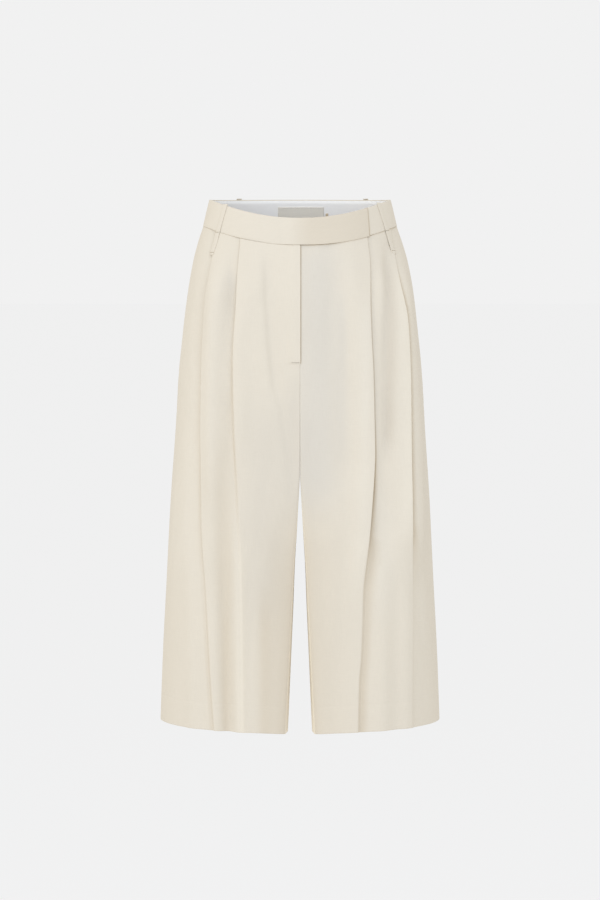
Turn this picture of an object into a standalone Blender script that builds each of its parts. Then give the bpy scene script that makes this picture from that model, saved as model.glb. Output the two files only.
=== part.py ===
"""Pleated wide-leg culottes, filled out as if worn, open at the waist and at both hems.

Metres, +Z up. The front faces -Y and the wearer's left is at +X. The origin is the middle of the
waist, at half the height of the waistband at its sides.

Each cloth piece is a thin wall through level sections. A section is half of the garment's ring,
from its middle (centre seam or inseam) to its side seam, for the front or for the back. A point
of it is found by its distance along that curve and its height above it, so a pleat is a short
path that turns under, runs back and turns on again. The right half is the left half mirrored,
with its own pleats and folds.
"""

import math

import bmesh
import bpy
import numpy as np

# Cloth
WALL = 0.0012
BAND_WALL = 0.0024
FACING_WALL = 0.0010
LOOP_WALL = 0.0014
SEAM_GAP = 0.0003

# Waistband: its height, how far its front hangs lower and its back stands higher than its sides
BAND_HEIGHT = 0.040
FRONT_DIP = 0.029
BACK_RISE = 0.002
DIP_FADES_OVER = 0.180
TAB_END_X = 0.1005
TAB_STANDS_OUT = 0.0030
TAB_LIFTS_OVER = 0.024
TAB_LIFTED_BY_X = 0.006
BAND_END_PAST_CENTRE = 0.004
BAND_COLUMNS = 76

# Facing inside the band
FACING_BELOW_TOP = 0.0015
FACING_ENDS = 0.010
FACING_COLUMNS = 60

# Length, and how much lower the hem hangs at the inseam than at the side seam
HEM_Z = -0.771
HEM_INNER_DROP = 0.010
HEM_DROP_STARTS_Z = -0.600

# Fly: the right front laps over the left one, down to the top of the centre seam
FLY_END_Z = -0.223
FLY_STEP = 0.004
FLY_EDGE_PAST_CENTRE = 0.0020
FLY_UNDER_PAST_CENTRE = 0.0080
FLY_RAISE = 0.0019
FLY_RAISE_FLAT = 0.006
FLY_RAISE_FADES_OVER = 0.020

# Pieces behind the fly: half of their width, how far they lie behind the fronts, and their top
ZIP_HALF_WIDTH = 0.010
UNDERLAP_HALF_WIDTH = 0.016
FLY_PIECES_BEHIND = 0.0008
FLY_PIECES_TOP = -0.022

# Pleats: radius of a turn in the cloth, folded flat and hanging open, and how far each side of a
# pleat takes to settle back
TURN_RADIUS = 0.0010
OPEN_TURN_RADIUS = 0.0035
SETTLE = 0.030
QUIET_MARGIN = 0.012

# Columns of points across a panel
ARC_STEPS = 4
CORNER_COLUMNS = 4
SHORTEST_CORNER = 0.0020
MIDDLE_COLUMNS = 11
BETWEEN_COLUMNS = 5
SIDE_COLUMNS = 8
BACK_COLUMNS = 15
CURVE_SAMPLES = 160

# The garment's ring at each level. half_width is the side seam's x, side_y its y. front_x and
# front_y are the foremost point of a half, back_x and back_y the rearmost. outer_power and
# inner_power say how square the curve is towards the side and towards the middle: 2 is round.
SECTION_COLUMNS = (
    "z", "half_width", "side_y", "front_x", "front_y", "back_x", "back_y",
    "outer_power", "inner_power",
)
SECTIONS = (
    (0.020, 0.1368, 0.000, 0.000, -0.0915, 0.000, 0.0925, 2.0, 2.0),
    (-0.020, 0.1465, 0.000, 0.006, -0.0965, 0.006, 0.1000, 2.0, 2.2),
    (-0.041, 0.1535, 0.001, 0.014, -0.1005, 0.016, 0.1050, 2.05, 3.0),
    (-0.071, 0.1615, 0.002, 0.026, -0.1050, 0.030, 0.1125, 2.1, 5.0),
    (-0.132, 0.1720, 0.004, 0.046, -0.1095, 0.050, 0.1225, 2.15, 10.0),
    (-0.193, 0.1792, 0.005, 0.060, -0.1120, 0.062, 0.1275, 2.2, 20.0),
    (-0.254, 0.1850, 0.004, 0.072, -0.1125, 0.074, 0.1265, 2.2, 34.0),
    (-0.314, 0.1882, 0.003, 0.080, -0.1120, 0.084, 0.1230, 2.2, 36.0),
    (-0.375, 0.1925, 0.002, 0.086, -0.1112, 0.092, 0.1190, 2.2, 24.0),
    (-0.436, 0.1970, 0.001, 0.090, -0.1104, 0.097, 0.1160, 2.2, 8.0),
    (-0.558, 0.2035, 0.000, 0.094, -0.1085, 0.104, 0.1110, 2.15, 4.0),
    (-0.681, 0.2100, 0.000, 0.095, -0.1065, 0.108, 0.1075, 2.05, 2.8),
    (-0.771, 0.2133, 0.000, 0.095, -0.1055, 0.110, 0.1055, 1.95, 2.2),
)

# The middle edge of the panels: centre seams down to the crotch point, then the inseam.
MIDDLE_COLUMNS_NAMES = ("z", "x", "front_y", "back_y")
CENTRE_SEAM_X = SEAM_GAP / 2
CROTCH_Z = -0.310
CROTCH_Y = 0.010
MIDDLE_EDGE = (
    (-0.227, CENTRE_SEAM_X, -0.1130, 0.1280),
    (-0.233, 0.00085, -0.1100, 0.1240),
    (-0.242, 0.00085, -0.1040, 0.1140),
    (-0.260, 0.00090, -0.0860, 0.0930),
    (-0.280, 0.00090, -0.0560, 0.0640),
    (-0.297, 0.00100, -0.0220, 0.0340),
    (CROTCH_Z, 0.00110, CROTCH_Y, CROTCH_Y),
    (-0.400, 0.00140, 0.0090, 0.0090),
    (-0.467, 0.00280, 0.0070, 0.0070),
    (-0.528, 0.00700, 0.0050, 0.0050),
    (-0.590, 0.00920, 0.0030, 0.0030),
    (-0.651, 0.01200, 0.0020, 0.0020),
    (-0.743, 0.01640, 0.0010, 0.0010),
    (HEM_Z, 0.01780, 0.0000, 0.0000),
)

LEVELS = (
    -0.020 - SEAM_GAP, -0.045, -0.080, -0.125, -0.170, -0.205,
    FLY_END_Z + FLY_STEP, FLY_END_Z, FLY_END_Z - FLY_STEP,
    -0.233, -0.242, -0.260, -0.280, -0.297, CROTCH_Z,
    -0.345, -0.400, -0.465, -0.530, -0.600, -0.675, HEM_Z,
)

# Each pleat is turned towards the side. x is its folded edge, turn how far the cloth turns
# there in degrees (180 is folded flat) and tuck the length of the layer that runs back.
PLEAT_COLUMNS = ("z", "x", "turn", "tuck")
PLEATS = {
    "left": (
        (
            (-0.020, 0.1005, 180, 0.026),
            (-0.075, 0.1070, 179, 0.026),
            (-0.190, 0.1097, 172, 0.024),
            (-0.340, 0.1150, 165, 0.018),
            (-0.410, 0.1108, 160, 0.014),
            (-0.480, 0.1057, 155, 0.012),
            (-0.583, 0.0918, 150, 0.010),
            (-0.685, 0.0867, 145, 0.009),
            (HEM_Z, 0.0827, 140, 0.008),
        ),
        (
            (-0.020, 0.1350, 180, 0.022),
            (-0.060, 0.1454, 179, 0.020),
            (-0.101, 0.1500, 170, 0.018),
            (-0.155, 0.1600, 165, 0.015),
            (-0.225, 0.1662, 150, 0.011),
            (-0.342, 0.1681, 120, 0.007),
            (-0.436, 0.1720, 80, 0.004),
            (-0.508, 0.1725, 50, 0.004),
            (-0.650, 0.1751, 30, 0.004),
            (HEM_Z, 0.1753, 20, 0.004),
        ),
    ),
    "right": (
        (
            (-0.020, 0.0885, 180, 0.026),
            (-0.075, 0.0930, 178, 0.024),
            (-0.131, 0.0951, 165, 0.018),
            (-0.224, 0.0998, 150, 0.012),
            (-0.318, 0.0988, 125, 0.007),
            (-0.412, 0.0943, 90, 0.004),
            (-0.578, 0.0861, 50, 0.003),
            (HEM_Z, 0.0848, 30, 0.003),
        ),
        (
            (-0.020, 0.1170, 180, 0.022),
            (-0.075, 0.1310, 178, 0.020),
            (-0.109, 0.1416, 165, 0.015),
            (-0.143, 0.1452, 155, 0.012),
            (-0.225, 0.1464, 130, 0.008),
            (-0.320, 0.1488, 100, 0.004),
            (-0.457, 0.1476, 75, 0.003),
            (-0.561, 0.1413, 60, 0.003),
            (-0.689, 0.1377, 55, 0.003),
            (HEM_Z, 0.1352, 50, 0.003),
        ),
    ),
}

# Soft folds down a panel: a ridge has a positive height, a trough a negative one.
FOLD_COLUMNS = ("z_top", "z_bottom", "x_top", "x_bottom", "height", "width")
FOLD_FADES_OVER = 0.060
FOLDS = {
    "front_left": (
        (-0.060, -0.320, 0.029, 0.035, -0.0025, 0.013),
        (-0.060, -0.420, 0.060, 0.078, 0.0025, 0.014),
        (-0.080, -0.300, 0.128, 0.133, -0.0030, 0.007),
        (-0.480, HEM_Z, 0.118, 0.120, 0.0035, 0.010),
        (-0.480, HEM_Z, 0.139, 0.142, -0.0050, 0.010),
        (-0.480, HEM_Z, 0.160, 0.163, 0.0030, 0.009),
        (-0.500, HEM_Z, 0.048, 0.046, -0.0030, 0.014),
    ),
    "front_right": (
        (-0.060, -0.300, 0.112, 0.118, -0.0030, 0.008),
        (-0.060, -0.320, 0.134, 0.136, 0.0025, 0.007),
        (-0.060, -0.400, 0.052, 0.036, -0.0025, 0.014),
        (-0.420, HEM_Z, 0.112, 0.112, -0.0050, 0.010),
        (-0.460, HEM_Z, 0.092, 0.090, 0.0035, 0.010),
        (-0.480, HEM_Z, 0.062, 0.056, -0.0040, 0.013),
        (-0.500, HEM_Z, 0.160, 0.163, 0.0025, 0.010),
    ),
    "back_left": (
        (-0.240, HEM_Z, 0.060, 0.056, -0.0060, 0.016),
        (-0.260, HEM_Z, 0.098, 0.104, 0.0050, 0.018),
        (-0.320, HEM_Z, 0.142, 0.150, -0.0050, 0.015),
        (-0.420, HEM_Z, 0.178, 0.186, 0.0030, 0.010),
    ),
    "back_right": (
        (-0.230, HEM_Z, 0.066, 0.068, -0.0065, 0.017),
        (-0.280, HEM_Z, 0.106, 0.110, 0.0045, 0.017),
        (-0.340, HEM_Z, 0.150, 0.146, -0.0045, 0.014),
        (-0.400, HEM_Z, 0.176, 0.182, 0.0030, 0.011),
    ),
}

# Belt loops: x at the top and at the bottom of the strip's middle line, and the panel's face.
LOOP_COLUMNS = ("name", "side", "face", "x_top", "x_bottom")
LOOPS = (
    ("belt_loop_front_left", 1, "front", 0.1175, 0.1400),
    ("belt_loop_front_right", -1, "front", 0.1112, 0.1315),
    ("belt_loop_back_left", 1, "back", 0.1005, 0.1090),
    ("belt_loop_back_right", -1, "back", 0.0930, 0.1010),
)
LOOP_WIDTH = 0.010
# The strip's path, bottom to top: height from the band's seam (or from the band's top, for the
# rows of its fold), and how far its middle stands out from the garment's ring.
LOOP_BELOW_SEAM = ((-0.034, 0.0042), (-0.026, 0.0042), (-0.012, 0.0047), (0.004, 0.0046))
LOOP_ON_BAND = ((-0.024, 0.0043), (-0.012, 0.0040), (-0.003, 0.0036))
LOOP_OVER_TOP = ((0.0012, 0.0032), (0.0025, 0.0018), (0.0027, 0.0000))

# Label and size tab on the facing at the back: left edge, right edge, top, bottom
LABEL_BOX = (-0.0350, 0.0380, 0.0085, -0.0135)
SIZE_TAB_BOX = (0.0392, 0.0432, -0.0010, -0.0120)

CREAM = (0.80, 0.76, 0.67)
FACING_GREY = (0.72, 0.72, 0.71)
LABEL_BEIGE = (0.55, 0.52, 0.47)
TAB_TAN = (0.50, 0.40, 0.24)
ZIP_CREAM = (0.74, 0.70, 0.62)


def column(rows, names, name, z):
    """A table's named column at level z, by a curve through its rows that never overshoots."""
    levels = np.array([row[0] for row in rows])[::-1]
    values = np.array([row[names.index(name)] for row in rows])[::-1]
    gaps = np.diff(levels)
    slopes = np.diff(values) / gaps
    tangents = np.concatenate([slopes[:1], np.zeros(len(slopes) - 1), slopes[-1:]])
    rising = slopes[:-1] * slopes[1:]
    same_way = np.flatnonzero(rising > 0)
    tangents[same_way + 1] = 2 * rising[same_way] / (slopes[same_way] + slopes[same_way + 1])
    i = int(np.clip(np.searchsorted(levels, z) - 1, 0, len(gaps) - 1))
    t = min(max((z - levels[i]) / gaps[i], 0.0), 1.0)
    rest = 1 - t
    ends = (1 + 2 * t) * rest * rest * values[i] + t * t * (3 - 2 * t) * values[i + 1]
    return ends + gaps[i] * t * rest * (rest * tangents[i] - t * tangents[i + 1])


def ease(t):
    """0 up to t = 0, 1 from t = 1, and smooth between."""
    t = np.clip(t, 0.0, 1.0)
    return t * t * (3 - 2 * t)


def section_curve(z, face):
    """The half ring at level z, from its middle edge to its side seam, as closely spaced points."""
    value = {name: column(SECTIONS, SECTION_COLUMNS, name, z) for name in SECTION_COLUMNS}
    far_x, far_y = value[face + "_x"], value[face + "_y"]
    middle_x, middle_y = CENTRE_SEAM_X, far_y
    if z <= MIDDLE_EDGE[0][0]:
        middle_x = column(MIDDLE_EDGE, MIDDLE_COLUMNS_NAMES, "x", z)
        middle_y = column(MIDDLE_EDGE, MIDDLE_COLUMNS_NAMES, face + "_y", z)
    outward = -1 if face == "front" else 1
    far_x = max(far_x, middle_x + 0.001)
    middle_y = min(middle_y * outward, far_y * outward) * outward
    seam = outward * SEAM_GAP / 2
    if z <= CROTCH_Z:
        middle_y += seam
    side_y = value["side_y"] + seam
    turn = np.linspace(0, math.pi / 2, CURVE_SAMPLES)
    sine, cosine = np.sin(turn), np.sin(turn[::-1])
    inner, outer = 2 / value["inner_power"], 2 / value["outer_power"]
    inner_x = far_x - (far_x - middle_x) * cosine**inner
    inner_y = middle_y + (far_y - middle_y) * sine**inner
    outer_x = far_x + (value["half_width"] - WALL / 2 - far_x) * sine**outer
    outer_y = side_y + (far_y - side_y) * cosine**outer
    return np.column_stack(
        [np.append(inner_x, outer_x[1:]), np.append(inner_y, outer_y[1:])]
    )


class Curve:
    """A level curve whose points are found by distance along it and height above it."""

    def __init__(self, points, outward_turn, corner=None):
        steps = np.linalg.norm(np.diff(points, axis=0), axis=1)
        keep = np.append(True, steps > 1e-9)
        self.points = points[keep]
        steps = np.linalg.norm(np.diff(self.points, axis=0), axis=1)
        self.distance = np.append(0.0, np.cumsum(steps))
        self.length = self.distance[-1]
        along = np.gradient(self.points, self.distance, axis=0)
        self.along = along / np.linalg.norm(along, axis=1)[:, None]
        self.outward_turn = outward_turn
        self.corner = 0.0 if corner is None else self.distance_at_x(corner)

    def at(self, distance, height):
        """The x, y points at these distances and heights. Past an end it runs straight on."""
        distance, height = np.broadcast_arrays(np.asarray(distance, float), height)
        inside = np.clip(distance, 0, self.length)
        place = np.column_stack([np.interp(inside, self.distance, self.points[:, k]) for k in (0, 1)])
        along = np.column_stack([np.interp(inside, self.distance, self.along[:, k]) for k in (0, 1)])
        along /= np.linalg.norm(along, axis=1)[:, None]
        out = self.outward_turn * np.column_stack([along[:, 1], -along[:, 0]])
        return place + along * (distance - inside)[:, None] + out * height[:, None]

    def distance_at_x(self, x):
        """The distance at which the curve first reaches x, on its way out to its widest point."""
        widest = int(self.points[:, 0].argmax()) + 1
        return float(np.interp(x, self.points[:widest, 0], self.distance[:widest]))

    def x_at(self, distance):
        return np.interp(distance, self.distance, self.points[:, 0])


def half_curve(z, face):
    """A half ring as a curve that knows where it turns the corner beside its middle edge."""
    points = section_curve(z, face)
    far_x = max(column(SECTIONS, SECTION_COLUMNS, face + "_x", z), points[0, 0])
    power = column(SECTIONS, SECTION_COLUMNS, "inner_power", z)
    corner_x = far_x - (far_x - points[0, 0]) * 0.5 ** (1 / power)
    return Curve(points, 1 if face == "front" else -1, corner_x)


class Pleat:
    """One pleat's path across a level: it turns under, runs back and turns on again."""

    def __init__(self, curve, rows, z):
        x, turn, self.tuck = (column(rows, PLEAT_COLUMNS, name, z) for name in ("x", "turn", "tuck"))
        self.turn = math.radians(turn)
        self.closed = float(ease((turn - 60) / 60))
        self.radius = OPEN_TURN_RADIUS + (TURN_RADIUS - OPEN_TURN_RADIUS) * self.closed
        sine, cosine = math.sin(self.turn), math.cos(self.turn)
        reach = self.radius * math.sin(min(self.turn, math.pi / 2)) + max(cosine, 0) * self.tuck / 2
        self.start = curve.distance_at_x(x) - reach
        self.end = self.start + 2 * self.radius * sine + self.tuck * cosine
        self.drop = 2 * self.radius * (1 - cosine) + self.tuck * sine
        self.low = min(self.start, self.end) - self.radius
        self.high = max(self.start, self.end) + self.radius

    def path(self):
        """Distances and heights, from the end of the upper layer to the start of the lower one."""
        angles = np.linspace(0, self.turn, ARC_STEPS + 1)
        arc = self.radius * np.column_stack([np.sin(angles), np.cos(angles) - 1])
        run = self.tuck * np.array([math.cos(self.turn), -math.sin(self.turn)])
        last = 2 * arc[-1] + run
        points = np.vstack([arc, arc[-1] + run / 2, last - arc[::-1]])
        return self.start + points[:, 0], self.drop / 2 + points[:, 1]

    def upper(self, distance, settle):
        return self.drop / 2 * ease((distance - self.low) / settle + 1)

    def lower(self, distance, settle):
        return self.drop / 2 * (ease((distance - self.high) / settle) - 1)

    def quiet(self, distance):
        """1 away from the pleat's layers and 0 on them, so that no soft fold pushes them together."""
        inside = ease((distance - self.low) / QUIET_MARGIN + 1)
        inside = inside * ease((self.high - distance) / QUIET_MARGIN + 1)
        return 1 - self.closed * inside


def soft_folds(rows, x, z):
    """The height of the soft folds at these x on level z."""
    height = np.zeros_like(x)
    for row in rows:
        fold = dict(zip(FOLD_COLUMNS, row))
        down = (fold["z_top"] - z) / (fold["z_top"] - fold["z_bottom"])
        middle = fold["x_top"] + (fold["x_bottom"] - fold["x_top"]) * down
        fades = ease((fold["z_top"] - z) / FOLD_FADES_OVER)
        if fold["z_bottom"] > HEM_Z:
            fades = fades * ease((z - fold["z_bottom"]) / FOLD_FADES_OVER)
        height = height + fold["height"] * fades * np.exp(-(((x - middle) / fold["width"]) ** 2))
    return height


def front_row(z, side):
    """A front panel's level: its curve, and its path from the middle edge to the side seam."""
    curve = half_curve(z, "front")
    inner, outer = (Pleat(curve, rows, z) for rows in PLEATS[side])
    start, raised = fly_edge(z, side)
    room = max(outer.low - inner.high, 0.004)
    wide, tight = SETTLE, min(SETTLE, room)
    middle = from_middle_edge(curve, start, inner.start, MIDDLE_COLUMNS)[:-1]
    between = np.linspace(inner.end, outer.start, BETWEEN_COLUMNS + 2)[1:-1]
    last = np.linspace(outer.end, curve.length, SIDE_COLUMNS + 1)[1:]
    inner_path, outer_path = inner.path(), outer.path()
    distance = np.concatenate([middle, inner_path[0], between, outer_path[0], last])
    height = np.concatenate([
        inner.upper(middle, wide) + raised * (1 - ease((middle - FLY_RAISE_FLAT) / FLY_RAISE_FADES_OVER)),
        inner_path[1],
        inner.lower(between, tight) + outer.upper(between, tight),
        outer_path[1],
        outer.lower(last, wide),
    ])
    quiet = inner.quiet(distance) * outer.quiet(distance)
    height = height + quiet * soft_folds(FOLDS["front_" + side], curve.x_at(distance), z)
    return curve, distance, height


def from_middle_edge(curve, start, end, columns):
    """Distances from the middle edge round the corner beside it, then evenly on to the end."""
    corner = max(curve.corner, start + SHORTEST_CORNER)
    first = np.linspace(start, corner, CORNER_COLUMNS + 1)[:-1]
    return np.append(first, np.linspace(corner, end, columns + 1))


def fly_edge(z, side):
    """Where a front's middle edge starts along its level, and how far the fly raises it."""
    if z < FLY_END_Z - FLY_STEP / 2:
        return 0.0, 0.0
    if side == "right":
        return -FLY_EDGE_PAST_CENTRE - CENTRE_SEAM_X, FLY_RAISE
    if z > FLY_END_Z + FLY_STEP / 2:
        return -FLY_UNDER_PAST_CENTRE, 0.0
    return FLY_EDGE_PAST_CENTRE + SEAM_GAP, 0.0


def back_row(z, side):
    """A back panel's level, in the same way."""
    curve = half_curve(z, "back")
    distance = from_middle_edge(curve, 0.0, curve.length, BACK_COLUMNS)
    return curve, distance, soft_folds(FOLDS["back_" + side], curve.x_at(distance), z)


def heights_at(curve, distance, z):
    """z of a level along its curve: the front dips at the waist, the hem drops to the inseam."""
    x, y = curve.at(distance, 0.0).T
    front_y, back_y = (column(SECTIONS, SECTION_COLUMNS, name, z) for name in ("front_y", "back_y"))
    dip = -FRONT_DIP * np.minimum(y / front_y, 1.0) ** 2
    rise = BACK_RISE * np.minimum(y / back_y, 1.0) ** 2
    fade = 1 - ease((-BAND_HEIGHT / 2 - z) / DIP_FADES_OVER)
    near_hem = ease((HEM_DROP_STARTS_Z - z) / (HEM_DROP_STARTS_Z - HEM_Z))
    inward = 1 - np.clip(x / SECTIONS[-1][1], 0, 1)
    return z + np.where(y < 0, dip, rise) * fade - HEM_INNER_DROP * near_hem * inward


def sideways(points):
    """For each point of a path, the offset of a unit-thick layer beside it, mitred at corners."""
    steps = np.diff(points, axis=0)
    steps /= np.linalg.norm(steps, axis=1)[:, None]
    before = np.vstack([steps[:1], steps])
    after = np.vstack([steps, steps[-1:]])
    along = before + after
    along /= np.linalg.norm(along, axis=1)[:, None]
    stretch = 1 / np.maximum((along * after).sum(axis=1), 0.7)
    return np.column_stack([along[:, 1], -along[:, 0]]) * stretch[:, None]


def sheets_of(levels, make_row, wall, outward=1):
    """The outer and inner sheet of a wall, as grids of points. A row is a curve with a path."""
    sheets = ([], [])
    for z in levels:
        curve, distance, height = make_row(z)
        middle = curve.at(distance, height)
        offset = outward * wall / 2 * sideways(middle)
        heights = heights_at(curve, distance, z)
        for sheet, points in zip(sheets, (middle + offset, middle - offset)):
            sheet.append(np.column_stack([points, heights]))
    return np.array(sheets[0]), np.array(sheets[1])


def mirrored(sheets):
    return tuple(sheet * np.array([-1, 1, 1]) for sheet in sheets)


def wall_object(name, sheets, material):
    """One closed solid between two grids of points."""
    outer, inner = sheets
    rows, columns = outer.shape[:2]
    corner = np.arange(rows * columns).reshape(rows, columns)
    quads = np.stack([corner[:-1, :-1], corner[:-1, 1:], corner[1:, 1:], corner[1:, :-1]], -1)
    rim = np.concatenate([corner[0, :-1], corner[:-1, -1], corner[-1, :0:-1], corner[:0:-1, 0]])
    following = np.roll(rim, -1)
    count = rows * columns
    sides = np.stack([rim, rim + count, following + count, following], -1)
    # Both sheets' quads start at the same corner, so that both split along the same diagonal.
    sheet = quads.reshape(-1, 4)
    faces = np.concatenate([sheet[:, [0, 3, 2, 1]], sheet + count, sides[:, ::-1]])
    mesh = bpy.data.meshes.new(name)
    points = np.concatenate([outer.reshape(-1, 3), inner.reshape(-1, 3)])
    mesh.from_pydata(points.tolist(), [], faces.tolist())
    tidy = bmesh.new()
    tidy.from_mesh(mesh)
    bmesh.ops.recalc_face_normals(tidy, faces=tidy.faces)
    tidy.to_mesh(mesh)
    tidy.free()
    mesh.shade_smooth()
    mesh.set_sharp_from_angle(angle=math.radians(50))
    mesh.materials.append(material)
    piece = bpy.data.objects.new(name, mesh)
    bpy.data.collections["culottes"].objects.link(piece)
    return piece


def ring(z):
    """The whole ring at level z, from the centre front by the left side and back to the front."""
    front = section_curve(z, "front")
    back = section_curve(z, "back")
    half = np.vstack([front, back[::-1]])
    half[0, 0] = half[-1, 0] = 0.0
    return Curve(np.vstack([half, half[-2::-1] * np.array([-1, 1])]), 1)


def band_row(z):
    """Once round the waist from under the tab, then on over the left front to the tab's end."""
    curve = ring(z)
    tab_end = curve.length + curve.distance_at_x(TAB_END_X)
    distance = np.linspace(-BAND_END_PAST_CENTRE, tab_end, BAND_COLUMNS + 1)
    lift_starts = curve.length - TAB_LIFTED_BY_X - TAB_LIFTS_OVER
    height = TAB_STANDS_OUT * ease((distance - lift_starts) / TAB_LIFTS_OVER)
    return curve, distance % curve.length, height


def facing_row(z):
    curve = ring(z)
    distance = np.linspace(FACING_ENDS, curve.length - FACING_ENDS, FACING_COLUMNS + 1)
    return curve, distance, np.full(len(distance), -BAND_WALL / 2 - SEAM_GAP - FACING_WALL / 2)


def patch_sheets(x, levels, at_back, height, wall):
    """A small straight-edged piece on the ring, at the centre front or the centre back."""

    def row(z):
        curve = ring(z)
        distance = curve.length / 2 - x if at_back else x % curve.length
        return curve, distance, np.full(len(x), height)

    return sheets_of(levels, row, wall)


def loop_sheets(row):
    """A belt loop's outer and inner sheet: a strip that bends over the band's top edge."""
    loop = dict(zip(LOOP_COLUMNS, row))
    face = loop["face"]
    seam_z, top_z = -BAND_HEIGHT / 2, BAND_HEIGHT / 2
    profile = [(seam_z + up, out) for up, out in LOOP_BELOW_SEAM]
    profile += [(top_z + up, out) for up, out in LOOP_ON_BAND + LOOP_OVER_TOP]
    profile = np.array(profile)
    across = np.array([-0.5, 0.0, 0.5]) * LOOP_WIDTH
    offset = LOOP_WALL / 2 * sideways(profile)
    sheets = []
    for side in (-1, 1):
        grid = []
        for (z, _), (level, out) in zip(profile, profile + side * offset):
            curve = half_curve(min(z, top_z), face)
            down = np.clip((top_z - z) / (top_z - profile[0, 0]), 0, 1)
            x = loop["x_top"] + (loop["x_bottom"] - loop["x_top"]) * down
            middle = curve.distance_at_x(x)
            points = curve.at(middle + across, np.full(3, out))
            drop = heights_at(curve, [middle], min(z, top_z)) - min(z, top_z)
            grid.append(np.column_stack([points, np.full(3, level + drop[0])]))
        sheets.append(np.array(grid))
    return sheets if loop["side"] > 0 else mirrored(sheets)


def cloth(name, colour, roughness):
    material = bpy.data.materials.new(name)
    material.use_nodes = True
    shader = material.node_tree.nodes["Principled BSDF"]
    shader.inputs["Base Color"].default_value = (*colour, 1.0)
    shader.inputs["Roughness"].default_value = roughness
    shader.inputs["Metallic"].default_value = 0.0
    return material


def clear_scene():
    for thing in list(bpy.data.objects):
        bpy.data.objects.remove(thing, do_unlink=True)


def build_panels():
    rows = {"front": front_row, "back": back_row}
    for side in ("right", "left"):
        for face, make_row in rows.items():
            name = f"{face}_{side}"
            outward = 1 if face == "front" else -1
            sheets = sheets_of(LEVELS, lambda z: make_row(z, side), WALL, outward)
            sheets = sheets if side == "left" else mirrored(sheets)
            wall_object(name, sheets, cloth(name + "_cloth", CREAM, 0.85))


def build_waistband():
    top, bottom = BAND_HEIGHT / 2, -BAND_HEIGHT / 2
    band = sheets_of((top, 0.0, bottom), band_row, BAND_WALL)
    wall_object("waistband", band, cloth("band_cloth", CREAM, 0.85))
    facing = sheets_of((top - FACING_BELOW_TOP, 0.0, bottom), facing_row, FACING_WALL)
    wall_object("waistband_facing", facing, cloth("facing_cloth", FACING_GREY, 0.9))


def build_labels():
    on_facing = -BAND_WALL / 2 - 2 * SEAM_GAP - 1.5 * FACING_WALL
    for name, box, columns, colour in (
        ("label", LABEL_BOX, 10, LABEL_BEIGE),
        ("size_tab", SIZE_TAB_BOX, 2, TAB_TAN),
    ):
        x, levels = np.linspace(*box[:2], columns + 1), np.linspace(*box[2:], 3)
        sheets = patch_sheets(x, levels, True, on_facing, FACING_WALL)
        wall_object(name, sheets, cloth(name + "_weave", colour, 0.8))


def build_loops():
    for row in LOOPS:
        wall_object(row[0], loop_sheets(row), cloth(row[0] + "_cloth", CREAM, 0.85))


def build_fly():
    levels = [FLY_PIECES_TOP] + [z for z in LEVELS[1:] if z > FLY_END_Z]
    zip_height = -WALL / 2 - FLY_PIECES_BEHIND - FACING_WALL / 2
    under_height = zip_height - FACING_WALL / 2 - SEAM_GAP - WALL / 2
    for name, half_width, height, wall, colour in (
        ("fly_zip", ZIP_HALF_WIDTH, zip_height, FACING_WALL, ZIP_CREAM),
        ("fly_underlap", UNDERLAP_HALF_WIDTH, under_height, WALL, CREAM),
    ):
        x = np.linspace(-half_width, half_width, 7)
        sheets = patch_sheets(x, levels, False, height, wall)
        wall_object(name, sheets, cloth(name + "_cloth", colour, 0.8))


def main():
    clear_scene()
    bpy.context.scene.collection.children.link(bpy.data.collections.new("culottes"))
    build_panels()
    build_waistband()
    build_labels()
    build_loops()
    build_fly()


main()
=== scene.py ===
# %% [markdown]
# # Pleated culottes, filled out as worn
#
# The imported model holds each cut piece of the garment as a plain, thick-walled solid. This lesson
# makes the same pieces again as thin cloth on the same form, with their folds, seams, hems and
# stitches, and gives them their weave. Lengths are metres, but the long tables are easier to read
# in millimetres. +Z is up and the front faces -Y. The wearer's left is at +X, so it is on the
# right of the view from the front.

# %% Load the model as a fixed frame
import math

import bpy
import numpy as np
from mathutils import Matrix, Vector


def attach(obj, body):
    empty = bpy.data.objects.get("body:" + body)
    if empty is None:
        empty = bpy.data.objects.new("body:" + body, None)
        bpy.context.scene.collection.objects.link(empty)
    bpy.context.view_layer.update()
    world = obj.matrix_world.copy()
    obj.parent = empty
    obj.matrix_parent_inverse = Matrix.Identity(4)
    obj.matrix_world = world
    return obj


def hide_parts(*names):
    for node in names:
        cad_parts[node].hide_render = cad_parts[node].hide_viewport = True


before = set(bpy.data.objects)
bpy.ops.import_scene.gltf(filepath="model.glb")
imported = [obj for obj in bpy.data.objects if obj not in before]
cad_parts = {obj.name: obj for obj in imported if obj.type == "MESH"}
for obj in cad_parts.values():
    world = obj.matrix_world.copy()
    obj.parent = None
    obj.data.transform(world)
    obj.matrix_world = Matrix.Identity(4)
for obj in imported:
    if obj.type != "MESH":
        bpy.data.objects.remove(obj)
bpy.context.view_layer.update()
scene = bpy.context.scene


def select_only(*objects):
    """Selects these objects and no others, and makes the first of them active."""
    bpy.ops.object.select_all(action="DESELECT")
    for obj in objects:
        obj.select_set(True)
    if objects:
        bpy.context.view_layer.objects.active = objects[0]


select_only()
print("nodes:", ", ".join(sorted(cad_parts)))

# %% [markdown]
# ## Camera, light and floor
#
# A long lens from 4.6 m keeps the sides of the garment almost parallel. The camera stands a
# little below the waist and looks slightly down, so that the inside of the back shows above the
# front of the waistband. The light of a white studio comes from everywhere, so the world is a
# plain pale grey. A wide, cool softbox in front and a smaller, warm one at the left give the
# folds their soft bright sides, and a faint, wide sun reaches the tops of the edges.

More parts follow.
